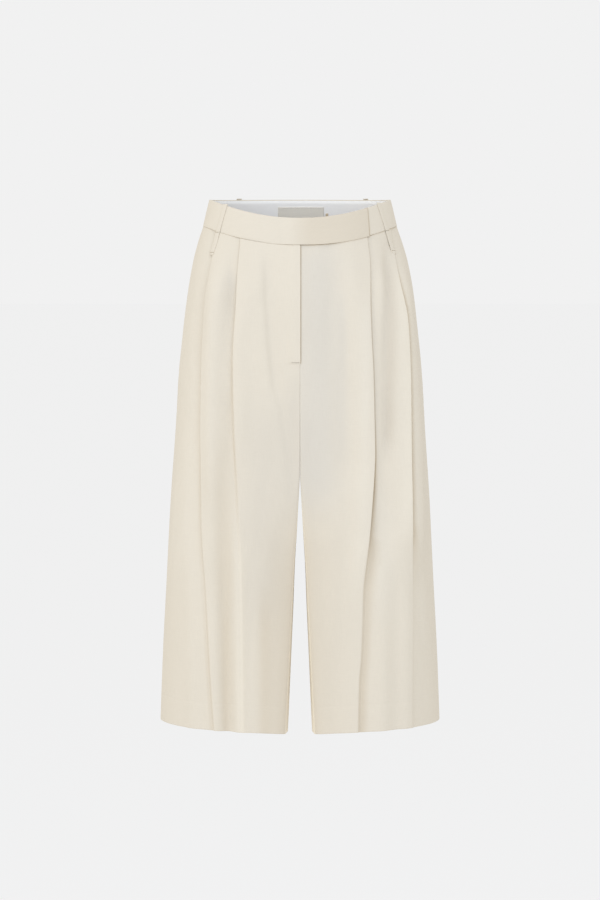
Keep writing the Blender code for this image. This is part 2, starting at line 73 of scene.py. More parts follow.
# %% Camera
CAMERA_PLACE = Vector((0.0, -4.6, -0.09))
CAMERA_AIM = Vector((0.0, 0.0, -0.36))
camera_data = bpy.data.cameras.new("camera")
camera_data.lens = 121.04
camera_data.sensor_width = 36.0
camera = bpy.data.objects.new("camera", camera_data)
camera.location = CAMERA_PLACE
camera.rotation_euler = (CAMERA_AIM - CAMERA_PLACE).to_track_quat("-Z", "Y").to_euler()
scene.collection.objects.link(camera)
scene.camera = camera
print("camera", round((CAMERA_AIM - CAMERA_PLACE).length, 2), "m from the garment")

# %% Light
STUDIO_GREY = 0.880
world = bpy.data.worlds.new("studio")
world.use_nodes = True
world.node_tree.nodes["Background"].inputs["Color"].default_value = (STUDIO_GREY,) * 3 + (1.0,)
scene.world = world
scene.view_settings.view_transform = "Standard"


def softbox(name, place, size, watts, colour):
    """A wide flat lamp at this place that faces the middle of the garment."""
    data = bpy.data.lights.new(name, "AREA")
    data.shape = "RECTANGLE"
    data.size, data.size_y = size
    data.energy = watts
    data.color = colour
    lamp = bpy.data.objects.new(name, data)
    lamp.location = place
    lamp.rotation_euler = (CAMERA_AIM - Vector(place)).to_track_quat("-Z", "Y").to_euler()
    scene.collection.objects.link(lamp)


softbox("front_softbox", (0.1, -2.8, 0.9), (2.4, 2.4), watts=33, colour=(0.60, 0.74, 1.0))
softbox("left_softbox", (-2.6, -1.8, 0.8), (1.2, 2.0), watts=14, colour=(1.0, 0.97, 0.94))
overhead = bpy.data.objects.new("overhead", bpy.data.lights.new("overhead", "SUN"))
overhead.data.energy = 0.11
overhead.data.angle = math.radians(60)
scene.collection.objects.link(overhead)

# %% Floor
FLOOR_Z = -2.2
FLOOR_GREY = 0.950
bpy.ops.mesh.primitive_plane_add(size=400, location=(0, 0, FLOOR_Z))
floor = bpy.context.object
floor.name = "floor"
floor_material = bpy.data.materials.new("pale_floor")
floor_material.use_nodes = True
floor_shader = floor_material.node_tree.nodes["Principled BSDF"]
floor_shader.inputs["Base Color"].default_value = (FLOOR_GREY,) * 3 + (1.0,)
floor_shader.inputs["Roughness"].default_value = 1.0
floor_shader.inputs["Specular IOR Level"].default_value = 0.0
floor.data.materials.append(floor_material)
select_only()
print("floor", round(-FLOOR_Z, 1), "m below the waist")

# %% [markdown]
# ## The form, level by level
#
# Trousers on a body are a hollow that changes from one oval at the waist to two tubes. A level
# cut through each half is described by a few numbers, and a smooth curve joins the numbers from
# level to level. Every panel is then a path along such a cut: how far along it, and how high
# above it. Pleats are short paths that turn under, run back and turn on again.

# %% The tables of the form, in millimetres
HEM, CROTCH, SEAM = -771, -310, 0.38
HEM_Z, CROTCH_Z, SEAM_X = HEM / 1000, CROTCH / 1000, SEAM / 1000
HEM_TURN_UP = 0.040
HEM_LINE_Z = HEM_Z + HEM_TURN_UP
FLY_END_Z = -0.223
CLOTH = 0.0007
WALL_CURVE = 1.5


def table_of(names, rows, ratios=()):
    """A table as one array for each named column: metres, or the numbers as given for ratios."""
    return {
        name: values if name in ratios else values / 1000
        for name, values in zip(names, np.array(rows, float).T)
    }


OVAL_POWERS = ("outer", "front_inner", "back_inner")
SECTIONS = table_of(
    ("z", "half_width", "side_y", "front_x", "front_y", "back_x", "back_y", *OVAL_POWERS),
    (
        (20, 136.8, 0, 0, -91.5, 0, 92.5, 2, 2, 2),
        (-20, 146.5, 0, 6, -96.5, 6, 100, 2, 2.2, 2.2),
        (-41, 153.5, 1, 14, -100.5, 16, 105, 2.05, 3, 3),
        (-71, 161.5, 2, 26, -105, 30, 112.5, 2.1, 5, 5),
        (-132, 172, 4, 46, -109.5, 50, 122.5, 2.15, 12, 12),
        (-193, 179.2, 5, 60, -112, 62, 127.5, 2.2, 40, 30),
        (-254, 185, 4, 72, -112.5, 74, 126.5, 2.2, 200, 80),
        (-314, 188.2, 3, 80, -112, 84, 123, 2.2, 300, 60),
        (-345, 190.3, 2.5, 83.3, -111.6, 88.4, 120.9, 2.2, 200, 25),
        (-375, 192.5, 2, 86, -111.2, 92, 119, 2.2, 90, 12),
        (-405, 194.8, 1.5, 88.2, -110.8, 94.7, 117.4, 2.2, 60, 7),
        (-436, 197, 1, 90, -110.4, 97, 116, 2.2, 42, 5),
        (-490, 200, 0.4, 92.2, -109.6, 100.5, 113.6, 2.19, 28, 3.5),
        (-558, 203.5, 0, 94, -108.5, 104, 111, 2.15, 20, 2.7),
        (-681, 210, 0, 95, -106.5, 108, 107.5, 2.05, 15, 2.2),
        (HEM, 213.3, 0, 95, -105.5, 110, 105.5, 1.95, 12, 2.1),
    ),
    ratios=OVAL_POWERS,
)
MIDDLE_EDGE = table_of(
    ("z", "x", "front_y", "back_y", "gap"),
    (
        (-227, SEAM, -113, 128, SEAM),
        (-233, SEAM, -110, 124, SEAM),
        (-242, SEAM, -104, 114, SEAM),
        (-260, SEAM, -86, 93, SEAM),
        (-280, SEAM, -56, 64, SEAM),
        (-297, SEAM, -22, 34, SEAM),
        (CROTCH, SEAM, 10, 10, SEAM),
        (-345, 1.2, 9.8, 9.8, SEAM),
        (-380, 3.8, 9, 9, SEAM),
        (-392, 5, 8.8, 8.8, SEAM),
        (-405, 6.2, 8.5, 8.5, 0.8),
        (-430, 8, 8, 8, 1.9),
        (-467, 10.5, 7, 7, 3.4),
        (-528, 14, 5, 5, 7),
        (-590, 16.5, 3, 3, 9.2),
        (-651, 19, 2, 2, 12),
        (-743, 22, 1, 1, 16.4),
        (HEM, 23, 0, 0, 17.8),
    ),
)
print("levels described:", len(SECTIONS["z"]), "and", len(MIDDLE_EDGE["z"]), "at the middle")

# %% Read a table at any level
def read(table, name, z):
    """A table's column at level z, by a curve through its rows that never overshoots."""
    levels, values = table["z"][::-1], table[name][::-1]
    gaps = np.diff(levels)
    slopes = np.diff(values) / gaps
    tangents = np.concatenate([slopes[:1], np.zeros(len(slopes) - 1), slopes[-1:]])
    rising = slopes[:-1] * slopes[1:]
    same_way = np.flatnonzero(rising > 0)
    tangents[same_way + 1] = 2 * rising[same_way] / (slopes[same_way] + slopes[same_way + 1])
    i = int(np.clip(np.searchsorted(levels, z) - 1, 0, len(gaps) - 1))
    t = min(max((z - levels[i]) / gaps[i], 0.0), 1.0)
    rest = 1 - t
    ends = (1 + 2 * t) * rest * rest * values[i] + t * t * (3 - 2 * t) * values[i + 1]
    return ends + gaps[i] * t * rest * (rest * tangents[i] - t * tangents[i + 1])


def ease(t):
    """0 up to t = 0, 1 from t = 1, and smooth between."""
    t = np.clip(t, 0.0, 1.0)
    return t * t * (3 - 2 * t)


print("half width at the hem", round(read(SECTIONS, "half_width", HEM_Z), 4))

# %% A level cut as a curve
CURVE_SAMPLES = 420
LEAST_WIDTH, TINY = 0.001, 1e-9


def half_points(z, face):
    """Half of a level cut, from its middle edge to its side seam: two quarters of an oval."""
    value = {name: read(SECTIONS, name, z) for name in SECTIONS}
    far_x, far_y = value[face + "_x"], value[face + "_y"]
    middle_x, near_x, middle_y = SEAM_X, SEAM_X, far_y
    if z <= MIDDLE_EDGE["z"][0]:
        middle_x = near_x = read(MIDDLE_EDGE, "x", z)
        middle_y = read(MIDDLE_EDGE, face + "_y", z)
        if face == "front":
            near_x = read(MIDDLE_EDGE, "gap", z)
    outward = -1 if face == "front" else 1
    far_x = max(far_x, middle_x + LEAST_WIDTH)
    middle_y = min(middle_y * outward, far_y * outward) * outward
    beside_seam = outward * SEAM_X
    if z <= CROTCH_Z:
        middle_y += beside_seam
    side_y = value["side_y"] + beside_seam
    turn = np.linspace(0, math.pi / 2, CURVE_SAMPLES)
    sine, cosine = np.sin(turn), np.sin(turn[::-1])
    inner, outer = 2 / value[face + "_inner"], 2 / value["outer"]
    inner_x = far_x - (far_x - near_x) * cosine**inner
    inner_x += (middle_x - near_x) * (1 - sine**inner) ** WALL_CURVE
    inner_y = middle_y + (far_y - middle_y) * sine**inner
    outer_x = far_x + (value["half_width"] - CLOTH / 2 - far_x) * sine**outer
    outer_y = side_y + (far_y - side_y) * cosine**outer
    return np.column_stack([np.append(inner_x, outer_x[1:]), np.append(inner_y, outer_y[1:])])


def lengths(points):
    """The length of each step along a line of points."""
    return np.linalg.norm(np.diff(points, axis=0), axis=1)


def run_along(points):
    """How far along a line of points each of them lies."""
    return np.append(0.0, np.cumsum(lengths(points)))


class Curve:
    """A level curve whose points are found by distance along it and height above it."""

    def __init__(self, points, outward_turn, corner_x=None):
        self.points = points[np.append(True, lengths(points) > TINY)]
        self.distance = run_along(self.points)
        self.length = self.distance[-1]
        along = np.gradient(self.points, self.distance, axis=0)
        self.along = along / np.linalg.norm(along, axis=1)[:, None]
        self.outward_turn = outward_turn
        self.corner = 0.0 if corner_x is None else self.distance_at_x(corner_x)

    def between_samples(self, values, distance):
        """The curve's points or directions at these distances."""
        return np.column_stack([np.interp(distance, self.distance, row) for row in values.T])

    def at(self, distance, height):
        """The x, y points at these distances and heights. Past an end it runs straight on."""
        distance, height = np.broadcast_arrays(np.asarray(distance, float), height)
        inside = np.clip(distance, 0, self.length)
        along = self.between_samples(self.along, inside)
        along /= np.linalg.norm(along, axis=1)[:, None]
        out = self.outward_turn * np.column_stack([along[:, 1], -along[:, 0]])
        place = self.between_samples(self.points, inside)
        return place + along * (distance - inside)[:, None] + out * height[:, None]

    def distance_at_x(self, x):
        """How far along the curve it first reaches this x on its way out to the side."""
        widest = int(self.points[:, 0].argmax()) + 1
        nearest = int(self.points[:widest, 0].argmin())
        outward = slice(nearest, widest)
        return float(np.interp(x, self.points[outward, 0], self.distance[outward]))

    def x_at(self, distance):
        """The curve's x at these distances."""
        return np.interp(distance, self.distance, self.points[:, 0])


def half_curve(z, face):
    """A half cut as a curve that knows where it turns the corner beside its middle edge."""
    points = half_points(z, face)
    near_x = points[:, 0].min()
    far_x = max(read(SECTIONS, face + "_x", z), near_x)
    power = read(SECTIONS, face + "_inner", z)
    corner_x = far_x - (far_x - near_x) * 0.5 ** (1 / power)
    return Curve(points, 1 if face == "front" else -1, corner_x)


def ring(z):
    """The whole cut at level z, from the centre front by the left side and back to the front."""
    half = np.vstack([half_points(z, "front"), half_points(z, "back")[::-1]])
    half[0, 0] = half[-1, 0] = 0.0
    return Curve(np.vstack([half, half[-2::-1] * np.array([-1, 1])]), 1)


print("waist, round the band's seam:", round(ring(SECTIONS["z"][1]).length * 100, 1), "cm")

# %% How the waist dips at the front and the hem at the inseam
BAND_HALF = 0.020
FRONT_DIP, BACK_RISE, DIP_FADES_OVER = 0.029, 0.002, 0.180
HEM_INNER_DROP, HEM_DROP_STARTS_Z = 0.010, -0.600


def heights_at(curve, distance, z):
    """z of a level along its curve."""
    x, y = curve.at(distance, 0.0).T
    front_y, back_y = read(SECTIONS, "front_y", z), read(SECTIONS, "back_y", z)
    dip = -FRONT_DIP * np.minimum(y / front_y, 1.0) ** 2
    rise = BACK_RISE * np.minimum(y / back_y, 1.0) ** 2
    fade = 1 - ease((-BAND_HALF - z) / DIP_FADES_OVER)
    near_hem = ease((HEM_DROP_STARTS_Z - z) / (HEM_DROP_STARTS_Z - HEM_Z))
    inward = 1 - np.clip(np.abs(x) / SECTIONS["half_width"][-1], 0, 1)
    return z + np.where(y < 0, dip, rise) * fade - HEM_INNER_DROP * near_hem * inward


def points_on(curve, z, distance, height):
    """Points of space at these distances along a level and heights above its curve."""
    return np.column_stack([curve.at(distance, height), heights_at(curve, distance, z)])


print("the band's seam dips", round(heights_at(ring(-BAND_HALF), [0.0], -BAND_HALF)[0], 3))

# %% [markdown]
# ## Pleats, soft folds and small waves
#
# Each front has two pleats that turn towards the side. Under the band they are pressed flat, and
# further down they open, so a table gives their folded edge, how far the cloth turns there, how
# much of it runs back and how dark a shade is painted into the crease. The soft folds between
# them are low ridges and troughs, each with its own length, depth and width. The warmer or cooler
# shade that light passed from cloth to cloth gives a fold is painted into the cloth's colour as a
# warm and a cool shade, where a negative one is painted light, and some rows are painted shade
# with no height. Small uneven waves keep the cloth from looking like card.

# %% The pleats' table, in millimetres
# The shade column is how dark the crease is painted, and fades_over how far past the fold's mouth
# that painted shade fades.
PLEAT_NAMES = ("z", "x", "turn", "tuck", "rise", "shade", "fades_over")
PLEAT_RATIOS = ("turn", "rise", "shade")
PLEAT_ROWS = {
    "left": (
        (
            (-20, 100, 180, 26, 0.6, 0.25, 3),
            (-62, 104.4, 180, 26, 0.7, 0.5, 3),
            (-116, 104.6, 180, 26, 0.8, 1, 3),
            (-181, 106.1, 178, 25, 0.85, 1, 3),
            (-240, 109, 177, 24, 0.9, 1, 3),
            (-300, 110.5, 176, 23, 0.9, 1.1, 3),
            (-360, 111.7, 176, 20, 0.9, 1.1, 4),
            (-390, 110.5, 175, 18, 0.9, 1.05, 5),
            (-449, 106.4, 155, 9, 0.8, 0.6, 9),
            (-509, 101.2, 78, 4, 0.65, 0.26, 14),
            (-569, 95.2, 46, 3, 0.55, 0.22, 13),
            (-610, 94.3, 40, 3, 0.5, 0.2, 12),
            (-660, 92.5, 38, 3, 0.5, 0.22, 10),
            (-700, 89.3, 40, 3, 0.5, 0.24, 10),
            (HEM, 88, 42, 3, 0.5, 0.24, 10),
        ),
        (
            (-20, 135, 180, 22, 0.1, 0.4, 3),
            (-60, 142.5, 178, 20, 0.2, 0.4, 4),
            (-101, 149.5, 172, 20, 0.75, 0.8, 8),
            (-155, 160, 166, 20, 0.9, 1, 12),
            (-225, 164, 163, 20, 0.92, 0.8, 12),
            (-342, 165.5, 160, 16, 0.9, 0.7, 12),
            (-436, 167.5, 140, 9, 0.8, 0.6, 12),
            (-508, 168.5, 55, 3, 0.6, 0.15, 12),
            (-580, 168.5, 20, 3, 0.6, 0, 12),
            (HEM, 168, 20, 3, 0.5, 0, 12),
        ),
    ),
    "right": (
        (
            (-20, 88.5, 180, 26, 0.5, 0.12, 3),
            (-75, 93, 177, 24, 0.6, 0.12, 3),
            (-131, 95.1, 150, 12, 0.55, 0.1, 3),
            (-224, 99.8, 106, 5, 0.5, 0.05, 3),
            (-318, 98.8, 78, 4, 0.5, 0.03, 3),
            (-412, 94.3, 48, 3, 0.5, 0, 3),
            (-578, 88, 20, 3, 0.5, 0, 3),
            (HEM, 86, 20, 3, 0.5, 0, 3),
        ),
        (
            (-20, 122.5, 180, 22, 0.1, 0.1, 3),
            (-60, 131.5, 178, 20, 0.1, 0.1, 3),
            (-90, 136.5, 168, 18, 0.6, 0.2, 3),
            (-131, 142, 145, 12, 0.75, 0.1, 3),
            (-225, 146.4, 110, 8, 0.7, 0.1, 3),
            (-320, 148, 90, 6, 0.6, 0.08, 3),
            (-457, 147.6, 58, 4, 0.5, 0.05, 3),
            (-561, 141.3, 46, 3, 0.5, 0.05, 3),
            (-689, 134.5, 48, 3, 0.5, 0.1, 3),
            (HEM, 129, 48, 3, 0.5, 0.1, 3),
        ),
    ),
}
PLEATS = {
    side: [table_of(PLEAT_NAMES, rows, PLEAT_RATIOS) for rows in inner_and_outer]
    for side, inner_and_outer in PLEAT_ROWS.items()
}
print("pleats:", {side: len(pleats) for side, pleats in PLEATS.items()})

# %% The soft folds' table, in millimetres: a ridge has a positive height, a trough a negative one; warm and cool are painted shade, negative ones painted light
FOLD_SIZES = (
    "z_top", "z_bottom", "fades_over", "x_top", "x_middle", "x_bottom", "height",
    "width_in", "width_out",
)
FOLD_SHADES = ("warm", "cool")
FOLD_ROWS = {
    "front_left": (
        (-30, -430, 60, 52, 72, 80, -6, 36, 18),
        (30, -480, 90, 28, 30, 26, 0, 52, 30, 0.01, 0.088),
        (-260, -490, 80, 0, 0, 0, 0, 30, 22, 0.05, 0.03),
        (-20, -390, 60, 131, 127, 130, -6.5, 7, 9, 0.07, 0.04),
        (-30, -580, 100, 140, 167, 169, 13, 26, 13),
        (-40, -500, 80, 138, 152, 156, 0, 10, 9, -0.14, -0.05),
        (-50, -360, 50, 132, 132, 132, 0, 6, 5.5, 0.12, 0.025),
        (-360, -640, 100, 122, 126, 124, 0, 20, 20, -0.06),
        (-240, -600, 100, 92, 95, 80, 0, 12, 10, -0.05),
        (-380, HEM, 160, 10, 15, 20, 0, 40, 45, 0.13),
        (-80, -340, 80, 98.5, 98.5, 98.5, 0, 10, 6, -0.06),
        (-80, -400, 80, 61.5, 63, 63, 0, 9, 8, 0.02, 0.045),
        (-400, HEM, 100, 4, 13, 21, 0, 12, 10, 0.07),
        (-460, HEM, 60, 118, 123, 124, 1.8, 12, 10),
        (-500, HEM, 60, 144, 145, 146, -2, 10, 8),
        (-480, HEM, 100, 162, 163, 164, 3, 12, 9),
    ),
    "front_right": (
        (-30, -470, 80, 124, 129, 132, 6, 16, 9),
        (-20, -400, 50, 104, 104, 104, -2, 6, 10, 0.01, 0.01),
        (-20, -290, 50, 50, 46, 33, -4.2, 20, 6, 0.01, 0.01),
        (-230, -430, 70, 40, 21, 12, -2.5, 20, 6),
        (-200, -500, 90, 6, 6, 6, 0, 50, 19, 0.07, 0.06),
        (-60, -115, 25, 104, 104, 104, 0, 7, 7, 0.04, 0.05),
        (-110, -300, 50, 108.5, 108.5, 108.5, 0, 6, 7, -0.09, -0.02),
        (-340, HEM, 300, 112, 114, 108.5, -8, 12, 11, 0.1),
        (-420, HEM, 120, 95, 92.5, 90.5, 5.5, 10, 10, -0.05),
        (-380, HEM, 200, 22, 24, 24, -1.5, 60, 30, 0.2, 0.02),
        (-400, HEM, 100, 4, 13, 21, 0, 14, 10, 0.09),
        (-300, -620, 100, 113, 117, 115, 0, 18, 14, 0.1),
        (-440, HEM, 100, 87.5, 87, 86.5, 0, 6, 6, -0.03, -0.05),
        (-540, HEM, 100, 112, 112, 112, 0, 5, 6, 0.13),
        (-540, HEM, 80, 54, 54, 54, 0, 12, 8, 0.13),
        (-240, -650, 100, 45, 50, 55, 0, 35, 35, 0.05, 0.05),
        (-30, -600, 100, 178, 182, 186, 0, 30, 30, -0.04),
        (-500, HEM, 60, 160, 162, 163, 2, 10, 10),
    ),
    "back_left": (
        (-240, HEM, 100, 60, 59, 56, -7, 13, 18, 0.12),
        (-260, HEM, 100, 98, 102, 104, 5.5, 20, 15, -0.04),
        (-320, HEM, 100, 142, 147, 150, -5.5, 12, 16, 0.12),
        (-420, HEM, 60, 178, 182, 186, 3, 10, 10),
    ),
    "back_right": (
        (-230, HEM, 120, 66, 68, 68, -7, 15, 18, 0.12),
        (-280, HEM, 100, 106, 109, 110, 5, 18, 15, -0.04),
        (-340, HEM, 100, 150, 147, 146, -5.5, 12, 15, 0.12),
        (-400, HEM, 60, 176, 180, 182, 3, 11, 11),
    ),
}


def soft_fold(row):
    """A row's named values, with sizes in metres. Painted shades that the row leaves out are 0."""
    sizes = [size / 1000 for size in row[:len(FOLD_SIZES)]]
    return dict(zip(FOLD_SIZES + FOLD_SHADES, [*sizes, *row[len(FOLD_SIZES):], 0.0, 0.0]))


FOLDS = {panel: [soft_fold(row) for row in rows] for panel, rows in FOLD_ROWS.items()}


def soft_folds(folds, x, z):
    """Height, painted warm shade and painted cool shade of the soft folds at these x on level z."""
    found = np.zeros((3,) + np.shape(x))
    for fold in folds:
        down = (fold["z_top"] - z) / (fold["z_top"] - fold["z_bottom"])
        middle = (
            fold["x_top"] * (1 - down) * (1 - 2 * down)
            + fold["x_middle"] * 4 * down * (1 - down)
            + fold["x_bottom"] * down * (2 * down - 1)
        )
        fades = ease((fold["z_top"] - z) / fold["fades_over"])
        if fold["z_bottom"] > HEM_Z:
            fades = fades * ease((z - fold["z_bottom"]) / fold["fades_over"])
        if fades > 0:
            width = np.where(x < middle, fold["width_in"], fold["width_out"])
            strength = fades * np.exp(-(((x - middle) / width) ** 2))
            found += strength * np.reshape([fold[n] for n in ("height", "warm", "cool")], (3, 1))
    return found


print("soft folds:", {panel: len(folds) for panel, folds in FOLDS.items()})

# %% One pleat on one level
TURN_RADIUS, OPEN_TURN_RADIUS = 0.0008, 0.0032
OPEN_TURN, CLOSED_TURN = 60, 120
HEM_ROOM, HEM_ROOM_GROWS_OVER = 0.0018, 0.020
MOUTH_PAST_END = 0.0020
SETTLE = 0.030
ARC_STEPS = 8
SLOT_COLUMNS, BESIDE_EDGE = 3, (-0.0005, 0.0003, 0.0011, 0.0020, 0.0036)


class Pleat:
    """A pleat's path across a level: it turns under, runs back and turns on again."""

    def __init__(self, curve, table, z, folds):
        value = {name: read(table, name, z) for name in table}
        x, turn, self.tuck = value["x"], value["turn"], value["tuck"]
        self.turn = math.radians(turn)
        self.shade, self.shade_fades_over = value["shade"], value["fades_over"]
        closed = float(ease((turn - OPEN_TURN) / (CLOSED_TURN - OPEN_TURN)))
        self.radius = OPEN_TURN_RADIUS + (TURN_RADIUS - OPEN_TURN_RADIUS) * closed
        in_hem = float(ease((HEM_LINE_Z + HEM_ROOM_GROWS_OVER - z) / HEM_ROOM_GROWS_OVER))
        self.radius += max(HEM_ROOM - self.radius, 0.0) * in_hem
        sine, cosine = math.sin(self.turn), math.cos(self.turn)
        reach = self.radius * math.sin(min(self.turn, math.pi / 2)) + max(cosine, 0) * self.tuck / 2
        self.drop = 2 * self.radius * (1 - cosine) + self.tuck * sine
        self.above = self.drop * value["rise"]
        # Lifting the edge moves it sideways where the form is round, so its foot moves back.
        foot = x
        for _ in range(4):
            lifted = self.above - self.radius + soft_folds(folds, np.array([foot]), z)[0]
            foot += x - curve.at([curve.distance_at_x(foot)], lifted)[0, 0]
        edge = curve.distance_at_x(foot)
        self.start = edge - reach
        self.end = self.start + 2 * self.radius * sine + self.tuck * cosine
        self.mouth = max(edge, self.end + MOUTH_PAST_END)
        self.low = min(self.start, self.end) - self.radius
        self.high = max(self.start, self.end) + self.radius

    def path(self):
        """Distances, heights and painted crease shade, from the upper layer to the lower one."""
        angles = np.linspace(0, self.turn, ARC_STEPS + 1)
        arc = self.radius * np.column_stack([np.sin(angles), np.cos(angles) - 1])
        run = self.tuck * np.array([math.cos(self.turn), -math.sin(self.turn)])
        last = 2 * arc[-1] + run
        middle = arc[-1] + run * np.array([[0.25], [0.5], [0.75]])
        points = np.vstack([arc, middle, last - arc[::-1]])
        painted_crease_shade = np.ones(len(points)) * self.shade
        painted_crease_shade[:ARC_STEPS] = 0.0
        return self.start + points[:, 0], self.above + points[:, 1], painted_crease_shade

    def after(self, end, count):
        """Distances on under the fold, past its edge in small steps, then evenly to the end."""
        beside = self.mouth + np.array(BESIDE_EDGE)
        slot = np.linspace(self.end, beside[0], SLOT_COLUMNS + 2)[1:-1]
        return np.concatenate([slot, beside, np.linspace(beside[-1], end, count + 2)[1:-1]])

    def painted_crease_shade(self, distance):
        """How dark the painted crease shade is on the lower layer: all of it under the fold."""
        return self.shade * (1 - ease((distance - self.mouth) / self.shade_fades_over))

    def upper(self, distance, settle):
        """How high the cloth stands before the fold."""
        return self.above * ease((distance - self.low) / settle + 1)

    def lower(self, distance, settle):
        """How deep the cloth lies after the fold."""
        return (self.drop - self.above) * (ease((distance - self.high) / settle) - 1)


waist_pleat = Pleat(half_curve(-0.1, "front"), PLEATS["left"][0], -0.1, FOLDS["front_left"])
print("ten centimetres down, the inner left pleat turns", round(math.degrees(waist_pleat.turn)))

# %% Small uneven waves
WAVE_WIDTHS = (0.047, 0.031, 0.022, 0.013)
WAVE_LENGTHS = (0.290, 0.180, 0.120, 0.070)
WAVE_HEIGHTS = (0.00030, 0.00022, 0.00012, 0.00005)
WANDER, WAVE_STRENGTH, SWELL, SWELL_LENGTH = 1.1, 0.65, 0.35, 1.7
WAVE_SEEDS = {"front_left": 3, "front_right": 8, "back_left": 5, "back_right": 12}


def small_waves(distance, z, seed):
    """Low waves that run down the cloth and wander from side to side."""
    phases = np.random.default_rng(seed).uniform(0, 2 * math.pi, (len(WAVE_WIDTHS), 3))
    height = np.zeros_like(distance)
    for width, length, tall, (a, b, c) in zip(WAVE_WIDTHS, WAVE_LENGTHS, WAVE_HEIGHTS, phases):
        wander = WANDER * math.sin(2 * math.pi * z / length + a)
        swell = SWELL * math.sin(2 * math.pi * z / (SWELL_LENGTH * length) + b)
        strength = WAVE_STRENGTH + swell
        height = height + tall * strength * np.sin(2 * math.pi * distance / width + wander + c)
    return height


print("waves at most", round(sum(WAVE_HEIGHTS) * 1000, 2), "mm high")

# %% [markdown]
# ## From paths to cloth
#
# A panel is a grid of points: a row for each level, and in each row the same columns, so that a
# fold keeps to its columns all the way down. The edges at the seams turn inwards, as pressed
# seam allowances do, which draws a fine groove where two panels meet. The lower edge is turned
# up inside by four centimetres. Solidify gives the sheet its thickness.

# %% Turned edges
HOOK_STEPS = 5
SEAM_RADIUS, SEAM_LEG = 0.00045, 0.0012
FLY_RADIUS, FLY_LEG = 0.0006, 0.0120
HEM_GAP, TRIM = 0.0011, 0.0018


def hook(radius, turn, leg):
    """Distances in from an edge and heights, from the end of the turned leg up to the face."""
    angles = np.linspace(math.radians(turn), 0, HOOK_STEPS + 1)
    inward, up = radius * (1 - np.sin(angles)), radius * (np.cos(angles) - 1)
    end_in = inward[0] - leg * math.cos(angles[0])
    end_up = up[0] - leg * math.sin(angles[0])
    return np.append(end_in, inward), np.append(end_up, up)


print("a seam's edge turns in by", round(-hook(SEAM_RADIUS, 90.0, SEAM_LEG)[1][0] * 1000, 2), "mm")

# %% How much of red, green and blue is lost in a warm and in a cool painted shade
WARM_LOSS, COOL_LOSS = np.array((0.38, 0.50, 0.67)), np.array((0.68, 0.49, 0.10))


def shade_of(warm, cool=0.0):
    """The share of red, green and blue that painted shade takes away at this warm and cool. A
    negative shade is painted light.
    """
    left = (1 - np.multiply.outer(warm, WARM_LOSS)) * (1 - np.multiply.outer(cool, COOL_LOSS))
    return 1 - left


print("half a warm shade takes", shade_of(0.5).round(2))

# %% What a front and a back have in common
FLY_CORNER = 0.0022
CORNER_COLUMNS, ROUND_COLUMNS = 4, 12
ROUND_BEFORE, ROUND_AFTER, SHORTEST_CORNER = 0.0020, 0.0045, 0.0030
WAVES_START, WAVES_FADE_OVER = 0.002, 0.018


def from_middle_edge(curve, start, end, count):
    """Distances round the corner beside the middle edge, then evenly on to the end."""
    corner = max(curve.corner, start + SHORTEST_CORNER, FLY_CORNER)
    return np.concatenate([
        np.linspace(start, corner - ROUND_BEFORE, CORNER_COLUMNS + 1)[:-1],
        np.linspace(corner - ROUND_BEFORE, corner + ROUND_AFTER, ROUND_COLUMNS + 1)[:-1],
        np.linspace(corner + ROUND_AFTER, end, count + 1),
    ])


def relief(curve, distance, z, panel):
    """Heights of the folds and of the waves, and the folds' painted warm and cool shades."""
    folds, warm, cool = soft_folds(FOLDS[panel], curve.x_at(distance), z)
    first = max(curve.corner, WAVES_START)
    calm = ease((distance - first) / WAVES_FADE_OVER)
    calm = calm * ease((curve.length - distance) / WAVES_FADE_OVER)
    return folds, small_waves(distance, z, WAVE_SEEDS[panel]) * calm, warm, cool


def trim_inside(inside):
    """How much narrower the turned-up hem is cut at each seam."""
    return TRIM * min(inside / HEM_GAP, 1.0)


print("the hem is narrower inside by", round(trim_inside(HEM_GAP) * 1000, 1), "mm a seam")

# %% A front's path
FLY_LAPS_OVER, FLY_LIES_UNDER, FLY_CLOSES_OVER = 0.0004, 0.0080, 0.004
FLY_RAISE, FLY_RAISE_FLAT, FLY_RAISE_FADES_OVER = 0.0021, 0.006, 0.020
# Painted shade in the crease under the fly's folded edge, and how far it fades out.
FLY_CREASE_SHADE, FLY_CREASE_FADES_OVER = 0.7, 0.0014
FOLDS_FADE_BESIDE_MIDDLE = 0.010
# Painted light on the groove of the centre seam and on the corner between the legs, where it
# lightens the shade.
GROOVE_STARTS_Z, GROOVE_DEEPENS_OVER = -0.265, 0.030
GAP_OPENS_Z, GAP_OPENS_OVER = -0.400, 0.050
CORNER_HALF, CORNER_PAINTED_LIGHT, GROOVE_PAINTED_LIGHT, PAINTED_LIGHT_COOL_PART = 0.002, 0.35, 0.16, 0.4
MIDDLE_COLUMNS, BETWEEN_COLUMNS, SIDE_COLUMNS = 34, 10, 20
SHORTEST_SETTLE = 0.004


def painted_edge_light(curve, distance, z):
    """How much painted light lightens the corner between the legs: a little above the gap, more
    beside it.
    """
    in_groove = ease((GROOVE_STARTS_Z - z) / GROOVE_DEEPENS_OVER)
    in_gap = ease((GAP_OPENS_Z - z) / GAP_OPENS_OVER)
    corner = 1 - ease((distance - curve.corner + CORNER_HALF) / (2 * CORNER_HALF))
    return corner * (GROOVE_PAINTED_LIGHT * in_groove * (1 - in_gap) + CORNER_PAINTED_LIGHT * in_gap)


def raised_part(distance):
    """How much of the fly's raise is left at this distance from the middle."""
    return 1 - ease((distance - FLY_RAISE_FLAT) / FLY_RAISE_FADES_OVER)


